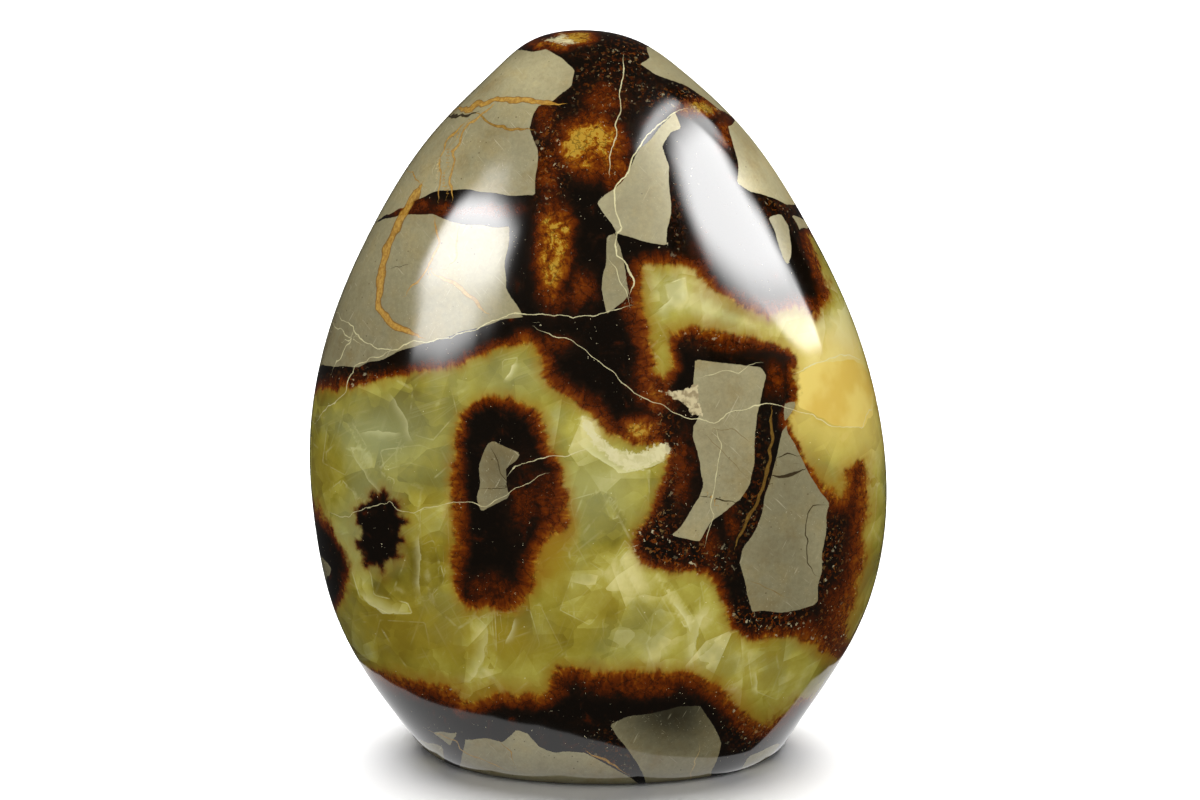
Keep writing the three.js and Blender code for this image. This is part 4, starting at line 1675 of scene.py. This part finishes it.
# %% The two panels
LEFT_BROW = [(-134, 51), (-83, 73), (-8, 94), (106, 103), (170, 91)]
LEFT_TOP = LEFT_BROW + [(190, 73), (90, 43), (-2, 33), (-70, 32), (-157, 36)]
LEFT_UPPER = LEFT_BROW + [
    (200, 68), (236, 14), (208, -10), (165, -37), (-92, -49), (-165, -31), (-163, 0), (-173, 32),
]
LEFT_LOWER = [
    (178, -24), (150, -64), (143, -95), (126, -119), (-1, -133), (-59, -120), (-109, -102),
    (-118, -83), (-107, -64), (-87, -44),
]
LEFT_DIM = [(-45, -31), (-173, -31), (-179, -62), (-154, -87), (-87, -84)]
LEFT_SPOT = [(99, 156), (36, 157), (-41, 144), (-68, 118), (-24, 106), (49, 118)]
RIGHT_UPPER = [
    (-139, -72), (-128, -26), (-140, -3), (-100, 26), (-99, 55), (-164, 124), (-170, 161),
    (-151, 199), (-103, 216), (38, 209), (188, 199), (294, 163), (349, 115), (380, 79),
    (387, 39), (377, 5), (335, -27), (279, -55),
]
# The lower end only shines faintly, so the soft layer stops above it.
RIGHT_MAIN = RIGHT_UPPER + [
    (208, -88), (141, -119), (94, -145), (50, -160), (-3, -170), (-150, -172), (-167, -130),
]
RIGHT_SOFT = RIGHT_UPPER + [(208, -80), (100, -96), (-70, -100)]
RIGHT_TOP = [(60, 252), (-124, 249), (-367, 242), (-403, 208), (-293, 153), (55, 142), (244, 180)]
RIGHT_STREAK = [
    (-200, 284), (-90, 296), (136, 304), (359, 302), (540, 286), (580, 267), (500, 248),
    (350, 252), (186, 258), (-38, 264),
]
# Each panel: azimuth, elevation, brightness, and its layers.
PANELS = {
    "left_panel": (-42, 20, 18, [
        (1.0, 50, LEFT_TOP), (0.78, 60, LEFT_UPPER), (0.5, 50, LEFT_LOWER), (0.18, 50, LEFT_DIM),
        (0.3, 60, LEFT_SPOT),
    ]),
    "right_panel": (75, 26, 16, [
        (0.62, 16, RIGHT_MAIN), (1.0, 120, RIGHT_SOFT), (0.35, 70, RIGHT_TOP),
        (0.6, 30, RIGHT_STREAK),
    ]),
}
for name, settings in PANELS.items():
    facing_panel(name, *settings)
print(len(PANELS), "panels hung")

# %% The card on the table
CARD_BRIGHTNESS = 0.95
CARD_LEVEL = 0.4  # just off the floor
TABLE_CARD = [
    (-50, 105), (-55, 64), (-64, 20), (-64, 0), (-58, -18), (-50, -30), (-43, -39), (-34, -47),
    (-19, -53), (-9, -52), (1, -48), (8, -43), (13, -39), (19, -35), (23, -32), (30, -26),
    (34, -22), (43, -17), (52, -12), (62, -6), (66, 10), (62, 40), (60, 105),
    (44, 105), (41, 20), (39, -2), (34, -15), (22, -26), (8, -31.5), (-8, -31.5), (-22, -26),
    (-34, -15), (-39, -2), (-40, 20), (-42, 105),
]
table_card = studio_sheet(
    "table_card", [(across * MM, deep * MM, CARD_LEVEL * MM) for across, deep in TABLE_CARD],
    [tuple(range(len(TABLE_CARD)))], glowing_material("table_card", CARD_BRIGHTNESS))
only_reflected(table_card, np.ones(len(TABLE_CARD)))
print("a card of", len(TABLE_CARD), "corners laid on the table")

# %% [markdown]
# ## Lamps and daylight
#
# Large round lamps close to the stone light it from all sides with hardly any shadow on it.
# They stay out of the reflections, which belong to the panels. The floor has lights of its
# own, so that it can be white right up to the stone while the stone keeps its own exposure.

# %% Soft lamps for the stone
LAMP_CENTRE = np.array([0.0, 0.0, 0.07])  # metres, where the lamps point
# Each lamp: azimuth from the front, elevation, distance and size in metres, and watts.
LAMPS = {
    "left_lamp": (-38, 32, 1.0, 0.6, 5.6),
    "right_lamp": (45, 30, 1.0, 0.6, 5.0),
    "front_lamp": (5, 2, 1.1, 0.7, 4.4),
    "left_side_lamp": (-88, 20, 1.0, 0.6, 3.0),
    "right_side_lamp": (88, 20, 1.0, 0.6, 3.8),
    "back_lamp": (180, 22, 1.2, 0.9, 12),
    "top_lamp": (0, 88, 1.1, 0.9, 2),
}


def light_only(lamp, *lit):
    """The lamp lights only these objects; every object still throws its shadow."""
    group = bpy.data.collections.new(lamp.name + "_lights")
    for piece in lit:
        group.objects.link(piece)
    lamp.light_linking.receiver_collection = group


def hang(name, data, azimuth, elevation, distance):
    """Puts a lamp in its place, turned to the stone and out of all reflections."""
    lamp = bpy.data.objects.new(name, data)
    lamp.location = direction_towards(azimuth, elevation) * distance + LAMP_CENTRE
    lamp.rotation_euler = (math.pi / 2 - math.radians(elevation), 0, math.radians(azimuth))
    lamp.visible_glossy = False
    lamp.visible_camera = False
    bpy.context.scene.collection.objects.link(lamp)
    return lamp


for name, (azimuth, elevation, distance, size, watts) in LAMPS.items():
    disk = bpy.data.lights.new(name, "AREA")
    disk.shape = "DISK"
    disk.size = size
    disk.energy = watts
    light_only(hang(name, disk, azimuth, elevation, distance), stone)
print(len(LAMPS), "lamps on the stone")

# %% [markdown]
# ## Daylight on the floor
#
# Two strong lights from high behind the stone keep the floor white up to the stone's
# overhang, and a weak one in front lifts the shadow. They are suns, so they light the floor
# evenly all over, and wide ones, so the shadow's edge is soft.

# %% Soft light on the floor
# Each light: azimuth, elevation, how wide it looks in degrees, and strength.
FLOOR_LIGHTS = {
    "floor_light_left": (-136, 62, 36, 4.8),
    "floor_light_right": (136, 62, 36, 4.8),
    "floor_light_front": (0, 30, 60, 0.6),
}
SUN_DISTANCE = 1.5  # metres; a sun's light is the same from any distance
for name, (azimuth, elevation, width, strength) in FLOOR_LIGHTS.items():
    sun = bpy.data.lights.new(name, "SUN")
    sun.angle = math.radians(width)
    sun.energy = strength
    light_only(hang(name, sun, azimuth, elevation, SUN_DISTANCE), floor)
print(len(FLOOR_LIGHTS), "lights on the floor")

# %% [markdown]
# ## The sizes, for comparison
#
# The detailed stone should fill the same box as the plain one. Both boxes are printed above,
# the plain one's when it is loaded and the detailed one's when it takes the plain one's place.
